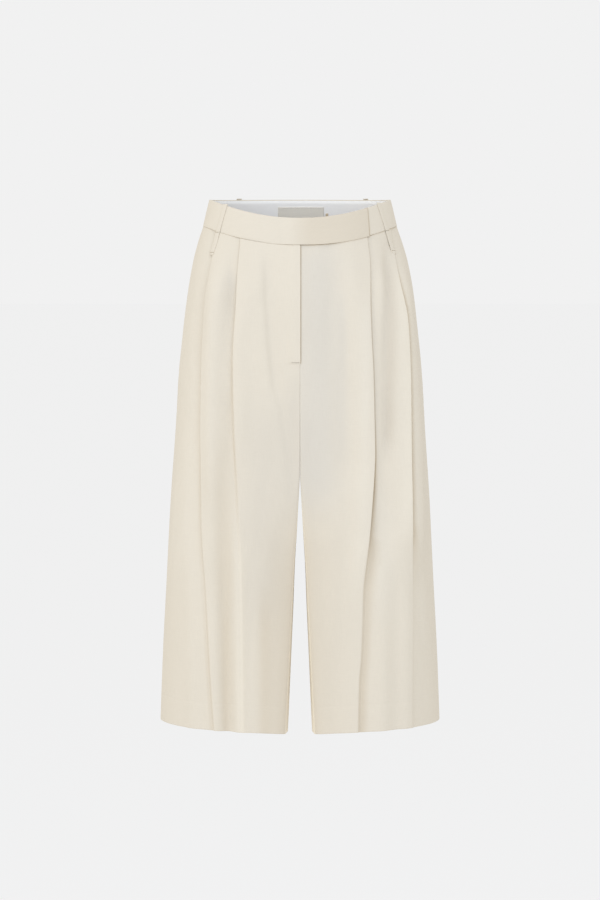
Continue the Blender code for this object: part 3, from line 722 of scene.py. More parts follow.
def front_path(z, side, inside=0.0):
    """A front's curve, distances, heights and painted shade, from the middle edge to the side seam.
    """
    trim = trim_inside(inside)
    curve = half_curve(z, "front")
    inner, outer = (Pleat(curve, table, z, FOLDS["front_" + side]) for table in PLEATS[side])
    lap = float(ease((z - FLY_END_Z) / FLY_CLOSES_OVER + 1))
    start, raised, under = -lap * FLY_LIES_UNDER, 0.0, lap
    radius, turn, leg = SEAM_RADIUS + inside, 90.0, SEAM_LEG
    if side == "right":
        start, raised, under = -lap * (FLY_LAPS_OVER + SEAM_X), lap * FLY_RAISE, 0.0
        radius += lap * (FLY_RADIUS - SEAM_RADIUS)
        turn += lap * 90.0
        leg += lap * (FLY_LEG - SEAM_LEG)
    edge_in, edge_up = hook(radius, turn, leg)
    seam_in, seam_up = hook(SEAM_RADIUS + inside, 90.0, SEAM_LEG)
    first = start + trim + edge_in
    middle = from_middle_edge(curve, start + trim + radius, inner.start, MIDDLE_COLUMNS)[1:-1]
    between = inner.after(outer.start, BETWEEN_COLUMNS)
    side_end = curve.length - trim - SEAM_RADIUS - inside
    last = outer.after(side_end, SIDE_COLUMNS)
    inner_path, outer_path = inner.path(), outer.path()
    seam = curve.length - trim - seam_in[::-1]
    distance = np.concatenate([first, middle, inner_path[0], between, outer_path[0], last, seam])
    tight = min(SETTLE, max(outer.low - inner.high, SHORTEST_SETTLE))
    height = np.concatenate([
        edge_up + raised * raised_part(start + edge_in),
        inner.upper(middle, SETTLE) + raised * raised_part(middle),
        inner_path[1],
        inner.lower(between, tight) + outer.upper(between, tight),
        outer_path[1],
        outer.lower(last, SETTLE),
        seam_up[::-1],
    ])
    # Painted shade under the fly's edge and in the pleats' creases.
    past_fly = distance - FLY_LAPS_OVER - SEAM_X
    under_fly = FLY_CREASE_SHADE * under * (1 - ease(past_fly / FLY_CREASE_FADES_OVER))
    painted_crease_shade = np.maximum(under_fly, np.concatenate([
        np.zeros(len(first) + len(middle)), inner_path[2], inner.painted_crease_shade(between),
        outer_path[2], outer.painted_crease_shade(last), np.zeros(len(seam)),
    ]))
    folds, waves, warm, cool = relief(curve, distance, z, "front_" + side)
    folds = folds * ease((distance - curve.corner) / FOLDS_FADE_BESIDE_MIDDLE)
    # Painted light at the corner between the legs takes away some of the painted warm and cool
    # shade.
    painted_light = painted_edge_light(curve, distance, z)
    warm = np.where(painted_crease_shade > 0, np.maximum(painted_crease_shade, warm), warm) - painted_light
    shade = shade_of(warm, cool - PAINTED_LIGHT_COOL_PART * painted_light)
    return curve, distance, height + folds + waves, shade


print("columns in a front:", len(front_path(-0.4, "left")[1]))

# %% A back's path
BACK_COLUMNS = 66


def back_path(z, side, inside=0.0):
    """A back's path and its painted shade, from the centre seam or inseam to the side seam."""
    trim, radius = trim_inside(inside), SEAM_RADIUS + inside
    curve = half_curve(z, "back")
    seam_in, seam_up = hook(radius, 90.0, SEAM_LEG)
    side_end = curve.length - trim - radius
    face = from_middle_edge(curve, trim + radius, side_end, BACK_COLUMNS)[1:-1]
    distance = np.concatenate([trim + seam_in, face, curve.length - trim - seam_in[::-1]])
    height = np.concatenate([seam_up, np.zeros(len(face)), seam_up[::-1]])
    folds, waves, warm, cool = relief(curve, distance, z, "back_" + side)
    return curve, distance, height + folds + waves, shade_of(warm, cool)


print("columns in a back:", len(back_path(-0.4, "left")[1]))

# %% The levels of a panel, with its turned-in top and its turned-up hem
ROW_STEP, ROW_ROOM = 0.006, 0.0012
FIRST_ROW, LAST_ROW, FIRST_INSIDE, INSIDE_ROWS = 0.004, 0.002, 0.002, 7
PANEL_TOP = -BAND_HALF - 0.0002
TOP_ROWS = ((0.0, 0.0004), (0.0006, 0.0001), (0.0014, 0.0), (0.0024, 0.0))
HEM_ROWS = ((0.0001, 0.0002), (0.0, HEM_GAP / 2), (0.0002, HEM_GAP))
EXTRA_ROWS = (
    (FLY_END_Z, (0.0005, -0.0013, -0.0027)),
    (MIDDLE_EDGE["z"][0], -np.arange(0.0, 0.010, 0.0011)),
    (HEM_LINE_Z, (0.0010, 0.0004, 0.0, -0.0004, -0.0010)),
    (HEM_Z, (0.0016, 0.0006)),
)


def panel_levels():
    """Rows as (z, how far inside the face), from the top edge down and up again in the hem."""
    extra = [z + step for z, steps in EXTRA_ROWS for step in steps]
    face = np.arange(PANEL_TOP - FIRST_ROW, HEM_Z + LAST_ROW, -ROW_STEP)
    face = [z for z in face if min(abs(z - e) for e in extra) >= ROW_ROOM]
    rows = [(PANEL_TOP - down, inside) for down, inside in TOP_ROWS]
    rows += [(z, 0.0) for z in sorted(face + extra, reverse=True)]
    rows += [(HEM_Z + up, inside) for up, inside in HEM_ROWS]
    up_inside = np.linspace(FIRST_INSIDE, HEM_TURN_UP, INSIDE_ROWS)
    return rows + [(HEM_Z + up, HEM_GAP) for up in up_inside]


LEVELS = panel_levels()
print("rows in a panel:", len(LEVELS))

# %% Sheets of cloth
SHARPEST_MITRE = 0.7


def sideways(points):
    """For each point of a path, the offset of a unit-thick layer beside it, mitred at corners."""
    steps = np.diff(points, axis=0) / np.maximum(lengths(points), TINY)[:, None]
    before, after = np.vstack([steps[:1], steps]), np.vstack([steps, steps[-1:]])
    along = before + after
    along /= np.maximum(np.linalg.norm(along, axis=1), TINY)[:, None]
    stretch = 1 / np.maximum((along * after).sum(axis=1), SHARPEST_MITRE)
    return np.column_stack([along[:, 1], -along[:, 0]]) * stretch[:, None]


def apply_modifier(obj, kind, **settings):
    """Adds a modifier with these settings and applies it."""
    bpy.context.view_layer.objects.active = obj
    modifier = obj.modifiers.new(kind.lower(), kind)
    for name, value in settings.items():
        setattr(modifier, name, value)
    bpy.ops.object.modifier_apply(modifier=modifier.name)


def thicken(sheet, thickness):
    """Gives a sheet its thickness, half of it to each side."""
    apply_modifier(sheet, "SOLIDIFY", thickness=thickness, offset=0, use_even_offset=True)


def edit(sheet, *steps):
    """Runs these steps of mesh editing on the whole of a sheet."""
    select_only(sheet)
    bpy.ops.object.mode_set(mode="EDIT")
    bpy.ops.mesh.select_all(action="SELECT")
    for step in steps:
        step()
    bpy.ops.object.mode_set(mode="OBJECT")


def sheet_of(name, rows, across, down, shades=None):
    """A grid whose points are placed row by row. Its UV map is in metres of cloth."""
    rows = np.array(rows)
    count, columns = rows.shape[:2]
    select_only()
    bpy.ops.mesh.primitive_grid_add(x_subdivisions=columns - 1, y_subdivisions=count - 1, size=1)
    sheet = bpy.context.object
    sheet.name = sheet.data.name = name
    mesh = sheet.data
    mesh.vertices.foreach_set("co", rows.reshape(-1))
    corners = np.empty(len(mesh.loops), np.int32)
    mesh.loops.foreach_get("vertex_index", corners)
    cloth_place = np.stack(np.broadcast_arrays(across, down), -1).reshape(-1, 2)
    mesh.uv_layers.active.data.foreach_set("uv", cloth_place[corners].reshape(-1))
    # The shade attribute carries the painted shade and painted light of each point.
    if shades is not None:
        shade = mesh.attributes.new("shade", "FLOAT_VECTOR", "POINT")
        shade.data.foreach_set("vector", np.array(shades, np.float32).reshape(-1))
    mesh.update()
    return sheet


def face_outwards(sheet, outward):
    """Turns the sheet's faces round if most of its area looks away from outward."""
    looks = sum(face.normal.dot(Vector(outward)) * face.area for face in sheet.data.polygons)
    if looks < 0:
        edit(sheet, bpy.ops.mesh.flip_normals)


def smooth(obj, up_to=180):
    """Shades the piece smooth, but keeps the edges sharp that turn by more degrees than this."""
    select_only(obj)
    bpy.ops.object.shade_smooth()
    if up_to < 180:
        bpy.ops.object.shade_smooth_by_angle(angle=math.radians(up_to))
    select_only()


# %% Make the four panels
FACE_SIGN = {"front": 1, "back": -1}
SIDE_SIGN = {"left": 1, "right": -1}
PATHS = {"front": front_path, "back": back_path}
HEM_BULGE, HEM_BULGE_GROWS_OVER = 0.00008, 0.002
HEM_DENT, HEM_DENT_WIDTH = 0.00012, 0.0008
# Painted shadow along the top of a panel under the band's seam, darker under the tab: how dark, and
# how far down it fades.
PAINTED_SHADOW_BELOW_BAND, PAINTED_SHADOW_BELOW_TAB = (0.02, 0.0020), (0.25, 0.0030)


def panel(face, side):
    """One panel as thin cloth, and the flat size that it was cut to."""
    rows, across, down, shades = [], [], [], []
    under_tab = (face, side) == ("front", "left")
    seam_shade, seam_shade_fades_over = PAINTED_SHADOW_BELOW_TAB if under_tab else PAINTED_SHADOW_BELOW_BAND
    for z, inside in LEVELS:
        curve, distance, height, shade = PATHS[face](z, side, inside)
        painted_seam_shadow = seam_shade * (1 - ease((LEVELS[0][0] - z) / seam_shade_fades_over))
        bulge = HEM_BULGE * ease((HEM_LINE_Z - z) / HEM_BULGE_GROWS_OVER)
        dent = HEM_DENT * math.exp(-(((z - HEM_LINE_Z) / HEM_DENT_WIDTH) ** 2))
        on_face = 1.0 if inside == 0 else 0.0
        middle = curve.at(distance, height + on_face * (bulge - dent))
        middle = middle - FACE_SIGN[face] * inside * sideways(middle)
        x, y = middle.T
        rows.append(np.column_stack([SIDE_SIGN[side] * x, y, heights_at(curve, distance, z)]))
        across.append(run_along(middle))
        down.append(np.full(len(middle), -z))
        shades.append(np.maximum(shade, shade_of(painted_seam_shadow)) if painted_seam_shadow > 0 else shade)
    pressed = HOOK_STEPS + 2 + CORNER_COLUMNS + ROUND_COLUMNS + MIDDLE_COLUMNS - 2
    across = [length - length[min(pressed, len(length) - 1)] for length in across]
    sheet = sheet_of(f"{face}_{side}_cloth", rows, np.array(across), np.array(down), shades)
    face_outwards(sheet, (0, -FACE_SIGN[face], 0))
    thicken(sheet, CLOTH)
    smooth(sheet)
    widths = [length[-1] - length[0] for length in across]
    length_cut = LEVELS[0][0] - HEM_Z + HEM_TURN_UP
    return sheet, (max(widths), length_cut), float(np.mean(widths)) * length_cut


panels = {}
for face in ("front", "back"):
    for side in ("right", "left"):
        panels[f"{face}_{side}"] = panel(face, side)
for sheet, flat, area in panels.values():
    print(sheet.name, "cut", [round(v, 3) for v in flat], "area", round(area, 3))

# %% [markdown]
# ## Waistband, facing and labels
#
# The band is one folded strip: a flat tube of cloth with soft edges, bent once round the waist
# and on over the left front, where its end stands out a little as a square tab. The facing is a
# second, lighter strip inside it. The labels are small woven pieces on the facing.

# %% The band
BAND_THICK, BAND_EDGE, BAND_BELLY = 0.0018, 0.0007, 0.0003
TAB_END_TOP_X, TAB_END_LOW_X = 0.0993, 0.1024
TAB_STANDS_OUT, TAB_LIFTS_OVER, TAB_LIFTED_BY_X, TAB_HANGS = 0.0025, 0.024, 0.006, 0.0008
# The tab is painted a little darker and warmer than the rest of the band, and painted shadow
# darkens the tab's square end and the band just past it and under it.
TAB_SHADE, TAB_SHADE_HALF_FADE, TAB_END_SHADE, TAB_END_FADES_OVER = 0.16, 0.020, 1.0, 0.0034
DENT_STARTS_X, DENT_ENDS_X, DENT_FADES_OVER = -0.012, 0.092, 0.020
DENT_DEPTH, DENT_WIDTH, DENT_UP, DENT_SLOPE = 0.0005, 0.0040, 0.001, 0.03
BAND_END_PAST_CENTRE = 0.004
UNDER_TAB_COLUMNS, TAB_END_COLUMNS, BAND_COLUMNS = 40, 12, 290
BEFORE_TAB_END, PAST_TAB_END, PAST_ROUNDING = 0.003, 0.005, 0.002
SHADE_REACHES_UNDER, INSIDE_WEAVE_APART = 0.004, 0.1
END_INWARD, END_THICKNESS = np.array(((0, 0.10, 0.35, 0.80), (0, 450, 800, 1000))) / 1000
WELD = 0.00002


def band_profile():
    """Heights and outward offsets round the band's cut, from its lower edge up the outside."""
    half, thick = BAND_HALF - BAND_EDGE, BAND_THICK / 2
    ups, outs = [], []
    for quarter, (up, out) in enumerate(((-half, 1), (half, 1), (half, -1), (-half, -1))):
        for angle in np.linspace(-90, 0, 4) + 90 * quarter:
            ups.append(up + BAND_EDGE * math.sin(math.radians(angle)))
            outs.append(out * (thick - BAND_EDGE) + BAND_EDGE * math.cos(math.radians(angle)))
        if quarter in (0, 2):
            for share in np.linspace(-1, 1, 10)[1:-1]:
                ups.append(half * share * (1 if quarter == 0 else -1))
                outs.append(out * thick + (BAND_BELLY * (1 - share**2) if quarter == 0 else 0.0))
    return np.array(ups), np.array(outs)


def tab_dent(up, past_centre):
    """The shallow hollow that the end under the tab leaves along it."""
    along = ease((past_centre - DENT_STARTS_X) / DENT_FADES_OVER)
    along = along * ease((DENT_ENDS_X - past_centre) / DENT_FADES_OVER)
    above = up - DENT_UP - DENT_SLOPE * past_centre
    return -DENT_DEPTH * along * np.exp(-((above / DENT_WIDTH) ** 2))


def make_band():
    """The band as one closed tube, from the end under the tab round to the tab, and its size."""
    rows, across, down, shades = [], [], [], []
    for up, out in zip(*band_profile()):
        curve = ring(up)
        share = (BAND_HALF - up) / (2 * BAND_HALF)
        tab_end_x = TAB_END_TOP_X + (TAB_END_LOW_X - TAB_END_TOP_X) * share
        first, last = -BAND_END_PAST_CENTRE, curve.length + curve.distance_at_x(tab_end_x)
        below_tab = curve.distance_at_x(tab_end_x)
        before, after = below_tab - BEFORE_TAB_END, below_tab + PAST_TAB_END
        distance = np.concatenate([
            first + END_INWARD,
            np.linspace(first + PAST_ROUNDING, before, UNDER_TAB_COLUMNS)[:-1],
            np.linspace(before, after, TAB_END_COLUMNS),
            np.linspace(after, last - PAST_ROUNDING, BAND_COLUMNS)[1:],
            last - END_INWARD[::-1],
        ])
        thickness = np.ones(len(distance))
        thickness[:len(END_THICKNESS)] = END_THICKNESS
        thickness[-len(END_THICKNESS):] = END_THICKNESS[::-1]
        past_centre = distance - curve.length
        lift = ease((past_centre + TAB_LIFTED_BY_X + TAB_LIFTS_OVER) / TAB_LIFTS_OVER)
        hangs = TAB_HANGS * share * ease(past_centre / TAB_END_TOP_X)
        height = TAB_STANDS_OUT * lift + out * thickness
        warm = TAB_SHADE * ease((past_centre + TAB_SHADE_HALF_FADE) / (2 * TAB_SHADE_HALF_FADE))
        if out > 0:
            height = height + tab_dent(up, past_centre)
            # Painted shadow on the band beside and under the tab's end, and on the end itself.
            past_tab = distance - below_tab
            below = 1 - ease(past_tab / TAB_END_FADES_OVER)
            below = np.where(past_tab > -SHADE_REACHES_UNDER, below, 0.0)
            at_end = np.clip(1 - (last - distance) / END_INWARD[-1], 0, 1)
            warm = np.maximum(warm, TAB_END_SHADE * np.maximum(below, at_end))
        shades.append(shade_of(warm))
        points = points_on(curve, up, distance % curve.length, height)
        points[:, 2] -= hangs
        rows.append(points)
        across.append(distance)
        down.append(np.full(len(distance), -up if out > 0 else -up + INSIDE_WEAVE_APART))
    for column in (rows, across, down, shades):
        column.append(column[0])
    band = sheet_of("waistband_cloth", rows, np.array(across), np.array(down), shades)
    weld = lambda: bpy.ops.mesh.remove_doubles(threshold=WELD)
    edit(band, weld, bpy.ops.mesh.normals_make_consistent)
    smooth(band)
    return band, (float(across[0][-1] - across[0][0]), 2 * BAND_HALF)


waistband, waistband_flat = make_band()
print("waistband", [round(v, 3) for v in waistband_flat], len(waistband.data.polygons), "faces")

# %% A thin strip that follows the waist
def strip_sheet(name, columns, levels, height, thickness, place, bulge=0.0):
    """Cloth between these levels. place(curve, columns) says how far round each ring it lies."""
    rows, across, down = [], [], []
    for z in levels:
        curve = ring(z)
        distance = place(curve, columns)
        share = np.linspace(-1, 1, len(distance))
        bulged = height + bulge * (1 - share**2)
        rows.append(points_on(curve, z, distance % curve.length, bulged))
        across.append(run_along(rows[-1][:, :2]))
        down.append(np.full(len(distance), -z))
    sheet = sheet_of(name, rows, np.array(across), np.array(down))
    thicken(sheet, thickness)
    edit(sheet, bpy.ops.mesh.normals_make_consistent)
    smooth(sheet)
    return sheet, (float(across[0][-1]), float(abs(levels[-1] - levels[0])))


FACING_THICK, FACING_GAP, FACING_BELOW_TOP, FACING_FROM_CENTRE = 0.0007, 0.0003, 0.0015, 0.010
FACING_HEIGHT = -BAND_THICK / 2 - FACING_GAP - FACING_THICK / 2


def round_the_waist(curve, columns):
    """Distances from one side of the fly round to the other."""
    return np.linspace(FACING_FROM_CENTRE, curve.length - FACING_FROM_CENTRE, columns)


facing_levels = np.linspace(BAND_HALF - FACING_BELOW_TOP, -BAND_HALF, 8)
facing, facing_flat = strip_sheet(
    "facing_cloth", 220, facing_levels, FACING_HEIGHT, FACING_THICK, round_the_waist)
print("facing", [round(v, 3) for v in facing_flat])

# %% Label and size tab
LABEL_THICK, LABEL_GAP, LABEL_BULGE, SIZE_TAB_BULGE = 0.0005, 0.0001, -0.0004, -0.0003
ON_FACING = FACING_HEIGHT - FACING_THICK / 2 - LABEL_THICK / 2 - LABEL_GAP
LABEL_LEFT, LABEL_RIGHT, LABEL_TOP, LABEL_BOTTOM = -0.0345, 0.0375, 0.0085, -0.0135
SIZE_TAB_LEFT, SIZE_TAB_RIGHT, SIZE_TAB_TOP, SIZE_TAB_BOTTOM = 0.0404, 0.0444, -0.0010, -0.0120


def at_the_back(left, right):
    """Distances of evenly spaced columns between two x at the centre back."""
    return lambda curve, columns: curve.length / 2 - np.linspace(left, right, columns)


label, label_flat = strip_sheet(
    "label_woven", 40, np.linspace(LABEL_TOP, LABEL_BOTTOM, 12), ON_FACING, LABEL_THICK,
    at_the_back(LABEL_LEFT, LABEL_RIGHT), bulge=LABEL_BULGE)
size_tab, size_tab_flat = strip_sheet(
    "size_tab_woven", 6, np.linspace(SIZE_TAB_TOP, SIZE_TAB_BOTTOM, 8), ON_FACING, LABEL_THICK,
    at_the_back(SIZE_TAB_LEFT, SIZE_TAB_RIGHT), bulge=SIZE_TAB_BULGE)
print("label", [round(v, 3) for v in label_flat], "tab", [round(v, 3) for v in size_tab_flat])

# %% [markdown]
# ## Belt loops
#
# A belt loop is a strip of cloth folded to a centimetre wide. It starts below the band's seam,
# where its end is turned under and tacked, runs up over the band and is sewn down behind its
# top edge. The strip bows outwards a little between its ends.

# %% Strips over the band
LOOP_WIDTH, LOOP_CLOTH = 0.0086, 0.0008
LOOP_NAMES = ("face", "side", "x_top", "x_bottom", "bow")
LOOPS = (
    ("front", "left", 0.1175, 0.1400, 0.00012),
    ("front", "right", 0.1112, 0.1315, 0.00009),
    ("back", "left", 0.1005, 0.1090, 0.00015),
    ("back", "right", 0.0930, 0.1010, 0.00018),
)
# How far up and out in millimetres, from the end turned under to the one behind the top edge.
LOOP_PROFILE = np.array((
    (-50.5, 0.2), (-53.5, 0.2), (-54.1, 0.5), (-53.5, 0.9), (-50, 1.0), (-44, 1.0), (-36, 1.0),
    (-28, 1.2), (-20, 1.6), (-12, 1.6), (-4, 1.6), (4, 1.6), (11, 1.6), (17, 1.6), (20.3, 1.6),
    (21.4, 1.1), (21.7, 0.0),
)) / 1000
LOOP_LOW_END = LOOP_PROFILE[:, 0].min()
LOOP_EDGE_SHADE, LOOP_EDGE_ROUND, LOOP_BEVEL = 0.05, 0.0002, 0.0003


def on_loop(loop, up, out, across):
    """Points across a belt loop at this height, this far out from the band's middle layer."""
    level = min(up, BAND_HALF)
    curve = half_curve(level, loop["face"])
    share = np.clip((BAND_HALF - up) / (BAND_HALF - LOOP_LOW_END), 0, 1)
    middle = curve.distance_at_x(loop["x_top"] + (loop["x_bottom"] - loop["x_top"]) * share)
    bow = loop["bow"] * math.sin(math.pi * share)
    round_edge = -LOOP_EDGE_ROUND * (2 * across / LOOP_WIDTH) ** 4
    folds = FOLDS[loop["face"] + "_" + loop["side"]]
    on_folds = soft_folds(folds, curve.x_at(middle + across), level)[0]
    x, y = curve.at(middle + across, out + bow + round_edge + np.maximum(on_folds, 0)).T
    drop = heights_at(curve, [middle], level)[0] - level
    return np.column_stack([SIDE_SIGN[loop["side"]] * x, y, np.full(len(x), up + drop)])


def make_loop(row):
    """One belt loop: the strip's path up the band, swept across its width."""
    loop = dict(zip(LOOP_NAMES, row))
    loop["name"] = f"belt_loop_{loop['face']}_{loop['side']}"
    across = np.linspace(-0.5, 0.5, 7) * LOOP_WIDTH
    grid = [on_loop(loop, up, out, across) for up, out in LOOP_PROFILE]
    down = [np.full(len(across), -up) for up, _ in LOOP_PROFILE]
    # The strip's edges are painted a little darker and warmer, as shade where it meets the cloth
    # beneath.
    shades = [shade_of(LOOP_EDGE_SHADE * (2 * np.abs(across) / LOOP_WIDTH) ** 8)] * len(grid)
    strip = sheet_of(loop["name"] + "_cloth", grid, across, np.array(down), shades)
    face_outwards(strip, (0, -FACE_SIGN[loop["face"]], 0))
    thicken(strip, LOOP_CLOTH)
    apply_modifier(strip, "BEVEL", width=LOOP_BEVEL, segments=2, limit_method="ANGLE")
    smooth(strip, up_to=50)
    return strip, loop


loops = [make_loop(row) for row in LOOPS]
print("belt loops:", len(loops), "with", len(loops[0][0].data.polygons), "faces each")

# %% [markdown]
# ## Behind the fly
#
# A strip of cloth lies behind the zip as a shield. The zip is closed: a tape with a row of small
# teeth and a slider at its top, under the band. None of it shows while the fly is shut.

# %% Shield and tape
FLY_PIECES_TOP, FLY_PIECES_BOTTOM = -0.022, -0.218
TAPE_THICK, TAPE_HALF, SHIELD_HALF = 0.0006, 0.010, 0.016
TAPE_GAP, SHIELD_GAP = 0.0011, 0.0010
TAPE_HEIGHT = -CLOTH / 2 - TAPE_GAP - TAPE_THICK / 2
SHIELD_HEIGHT = TAPE_HEIGHT - TAPE_THICK / 2 - SHIELD_GAP - CLOTH / 2


def at_the_front(half):
    """Distances of evenly spaced columns to both sides of the centre front."""
    return lambda curve, columns: np.linspace(-half, half, columns)


fly_levels = np.linspace(FLY_PIECES_TOP, FLY_PIECES_BOTTOM, 34)
tape, tape_flat = strip_sheet(
    "zip_tape", 9, fly_levels, TAPE_HEIGHT, TAPE_THICK, at_the_front(TAPE_HALF))
shield, shield_flat = strip_sheet(
    "fly_shield_cloth", 11, fly_levels, SHIELD_HEIGHT, CLOTH, at_the_front(SHIELD_HALF))
print("tape", [round(v, 3) for v in tape_flat], "shield", [round(v, 3) for v in shield_flat])

# %% Teeth and slider
TOOTH_PITCH, TOOTH, TOOTH_ASIDE = 0.0030, (0.0034, 0.0006, 0.0012), 0.0005
TEETH_TOP, TEETH_BOTTOM = FLY_PIECES_TOP - 0.010, FLY_PIECES_BOTTOM + 0.004
SLIDER_Z, SLIDER_HEIGHT = FLY_PIECES_TOP - 0.006, TAPE_HEIGHT - TAPE_THICK / 2 - 0.0003
SLIDER_BODY, SLIDER_PULL, PULL_HANGS = (0.0060, 0.0007, 0.0080), (0.0030, 0.0005, 0.0080), 0.0060
SMALL_BEVEL, SUNK = 0.0002, 0.0001


def rounded_box(name, centre, size):
    """A small box at this place with its edges broken."""
    select_only()
    bpy.ops.mesh.primitive_cube_add(size=1)
    box = bpy.context.object
    box.name = box.data.name = name
    box.data.vertices.foreach_set("co", np.concatenate([
        [c + v * s for c, v, s in zip(centre, vertex.co, size)] for vertex in box.data.vertices]))
    apply_modifier(box, "BEVEL", width=SMALL_BEVEL, segments=1)
    return box


def join(name, parts):
    """Joins objects into the first of them, under a new name."""
    select_only(*parts)
    bpy.ops.object.join()
    joined = bpy.context.object
    joined.name = joined.data.name = name
    select_only()
    return joined


def on_the_front(x, z, height):
    """A point at this x and level on the fly, this far out from the fronts' middle layer."""
    curve = ring(z)
    return Vector(points_on(curve, z, [x % curve.length], height)[0])


teeth = []
teeth_height = TAPE_HEIGHT + TAPE_THICK / 2 + TOOTH[1] / 2 - SUNK
for i, z in enumerate(np.arange(TEETH_TOP, TEETH_BOTTOM, -TOOTH_PITCH)):
    centre = on_the_front(TOOTH_ASIDE * (-1) ** i, z, teeth_height)
    teeth.append(rounded_box("tooth", centre, TOOTH))
zip_teeth = join("zip_teeth", teeth)
slider_place = on_the_front(0.0, SLIDER_Z, SLIDER_HEIGHT)
pull_place = slider_place + Vector((0, 0.0004, -PULL_HANGS))
slider = join("zip_slider", [
    rounded_box("slider_body", slider_place, SLIDER_BODY),
    rounded_box("slider_pull", pull_place, SLIDER_PULL),
])
print("zip teeth:", len(teeth))

# %% [markdown]
# ## Stitches that show
#
# A bar tack is a short, dense zigzag of thread that holds an end. There is one across each end of
# a belt loop and one at the foot of the fly. A wider zigzag runs along the top of the label.

# %% A thread as a mesh
THREAD = 0.00016


def thread(name, points):
    """A round sewing thread along these points."""
    line = bpy.data.curves.new(name, "CURVE")
    line.dimensions = "3D"
    line.bevel_depth, line.bevel_resolution, line.use_fill_caps = THREAD, 1, True
    run = line.splines.new("POLY")
    run.points.add(len(points) - 1)
    run.points.foreach_set("co", np.column_stack([points, np.ones(len(points))]).reshape(-1))
    obj = bpy.data.objects.new(name, line)
    scene.collection.objects.link(obj)
    select_only(obj)
    bpy.ops.object.convert(target="MESH")
    smooth(obj)
    return obj


def zigzag(start, end, low, high, count):
    """Pairs of one value that runs from start to end and one that jumps between low and high."""
    return zip(np.linspace(start, end, count), np.where(np.arange(count) % 2, high, low))


# %% Bar tacks
TACK_HALF, TACK_TALL, TACK_STEPS = 0.0041, 0.0010, 21
LOOP_TACKS = ((-0.0512, 0.0016), (-0.0212, 0.0022))
FLY_TACK = (0.0002, 0.0125, -0.2243, -0.2231, 35)


def on_right_front(x, z, out):
    """A point on the right front, this far out from its middle layer."""
    curve, distance, height, _ = front_path(z, "right")
    face = slice(HOOK_STEPS + 2, HOOK_STEPS + CORNER_COLUMNS + ROUND_COLUMNS + MIDDLE_COLUMNS)
    height_there = np.interp(x, distance[face], height[face]) + out
    return points_on(curve, z, [x], height_there)[0] * (SIDE_SIGN["right"], 1, 1)


tacks = []
for _, loop in loops:
    for up, out in LOOP_TACKS:
        steps = zigzag(-TACK_HALF, TACK_HALF, up, up + TACK_TALL, TACK_STEPS)
        points = [on_loop(loop, height, out, np.array([across]))[0] for across, height in steps]
        tacks.append(thread("tack", points))
tacks.append(thread("fly_tack", [
    on_right_front(x, z, CLOTH / 2 + THREAD / 2) for x, z in zigzag(*FLY_TACK)]))
bar_tacks = join("bar_tacks", tacks)
print("bar tacks:", len(tacks), "with", len(bar_tacks.data.polygons), "faces")

# %% The label's zigzag
LABEL_STITCHES = 61
STITCHES_IN, STITCHES_TOP, STITCHES_BOTTOM = 0.0008, 0.0004, 0.0017


def on_label(x, z):
    """A point at this x and level on the label, where a thread sinks in by half its radius."""
    curve = ring(z)
    middle, half = (LABEL_LEFT + LABEL_RIGHT) / 2, (LABEL_RIGHT - LABEL_LEFT) / 2
    bulge = LABEL_BULGE * (1 - ((x - middle) / half) ** 2)
    height = ON_FACING - LABEL_THICK / 2 + bulge - THREAD / 2
    return points_on(curve, z, [curve.length / 2 - x], height)[0]


label_zigzag = zigzag(
    LABEL_LEFT + STITCHES_IN, LABEL_RIGHT - STITCHES_IN,
    LABEL_TOP - STITCHES_BOTTOM, LABEL_TOP - STITCHES_TOP, LABEL_STITCHES)
label_stitches = thread("label_stitches", [on_label(x, z) for x, z in label_zigzag])
print("stitches on the label:", LABEL_STITCHES - 1)

# %% [markdown]
# ## Cloth that looks woven
#
# The cloth is matt, so its colour and its fine relief do all the work. Its colour also carries the
# painted shade and painted light that each sheet holds in its shade attribute. A weave is two sets
# of threads at right angles, half a millimetre apart, and each set has slightly thicker stretches,
# the slubs. They are drawn from the sheet's own UV map in metres, so they follow the cloth's
# grain round every fold.

# %% Small helpers for nodes
NOISE_ROUGHNESS, NOISE_LOW, NOISE_HIGH = 0.6, 0.3, 0.7


def add_node(tree, kind, inputs=(), **settings):
    """A new node with these settings. Each of its inputs is a value or another node's socket."""
    node = tree.nodes.new("ShaderNode" + kind)
    for name, value in settings.items():
        setattr(node, name, value)
    for socket, value in dict(inputs).items():
        if isinstance(value, bpy.types.NodeSocket):
            tree.links.new(value, node.inputs[socket])
        else:
            node.inputs[socket].default_value = value
    return node


def stretched_noise(tree, coordinates, stretch, detail):
    """Noise from -1 to 1 whose grains are stretched along one direction of the cloth."""
    scaled = add_node(tree, "VectorMath", {0: coordinates, 1: stretch}, operation="MULTIPLY")
    grain = {"Vector": scaled.outputs[0], "Scale": 1.0, "Detail": detail}
    grain["Roughness"] = NOISE_ROUGHNESS
    noise = add_node(tree, "TexNoise", grain).outputs["Fac"]
    limits = {"From Min": NOISE_LOW, "From Max": NOISE_HIGH, "To Min": -1, "To Max": 1}
    return add_node(tree, "MapRange", {"Value": noise, **limits}).outputs["Result"]


def maths(tree, operation, *inputs):
    """The result of a Math node whose inputs are sockets or numbers."""
    return add_node(tree, "Math", enumerate(inputs), operation=operation).outputs[0]


# %% The woven material
SLUBS_DOWN, SLUBS_ACROSS, WIDE_CLOUDS = (900.0, 45.0, 1.0), (55.0, 900.0, 1.0), (14.0, 9.0, 1.0)
CLOUDS, SLUBS_STAND_OUT = 0.008, 0.35


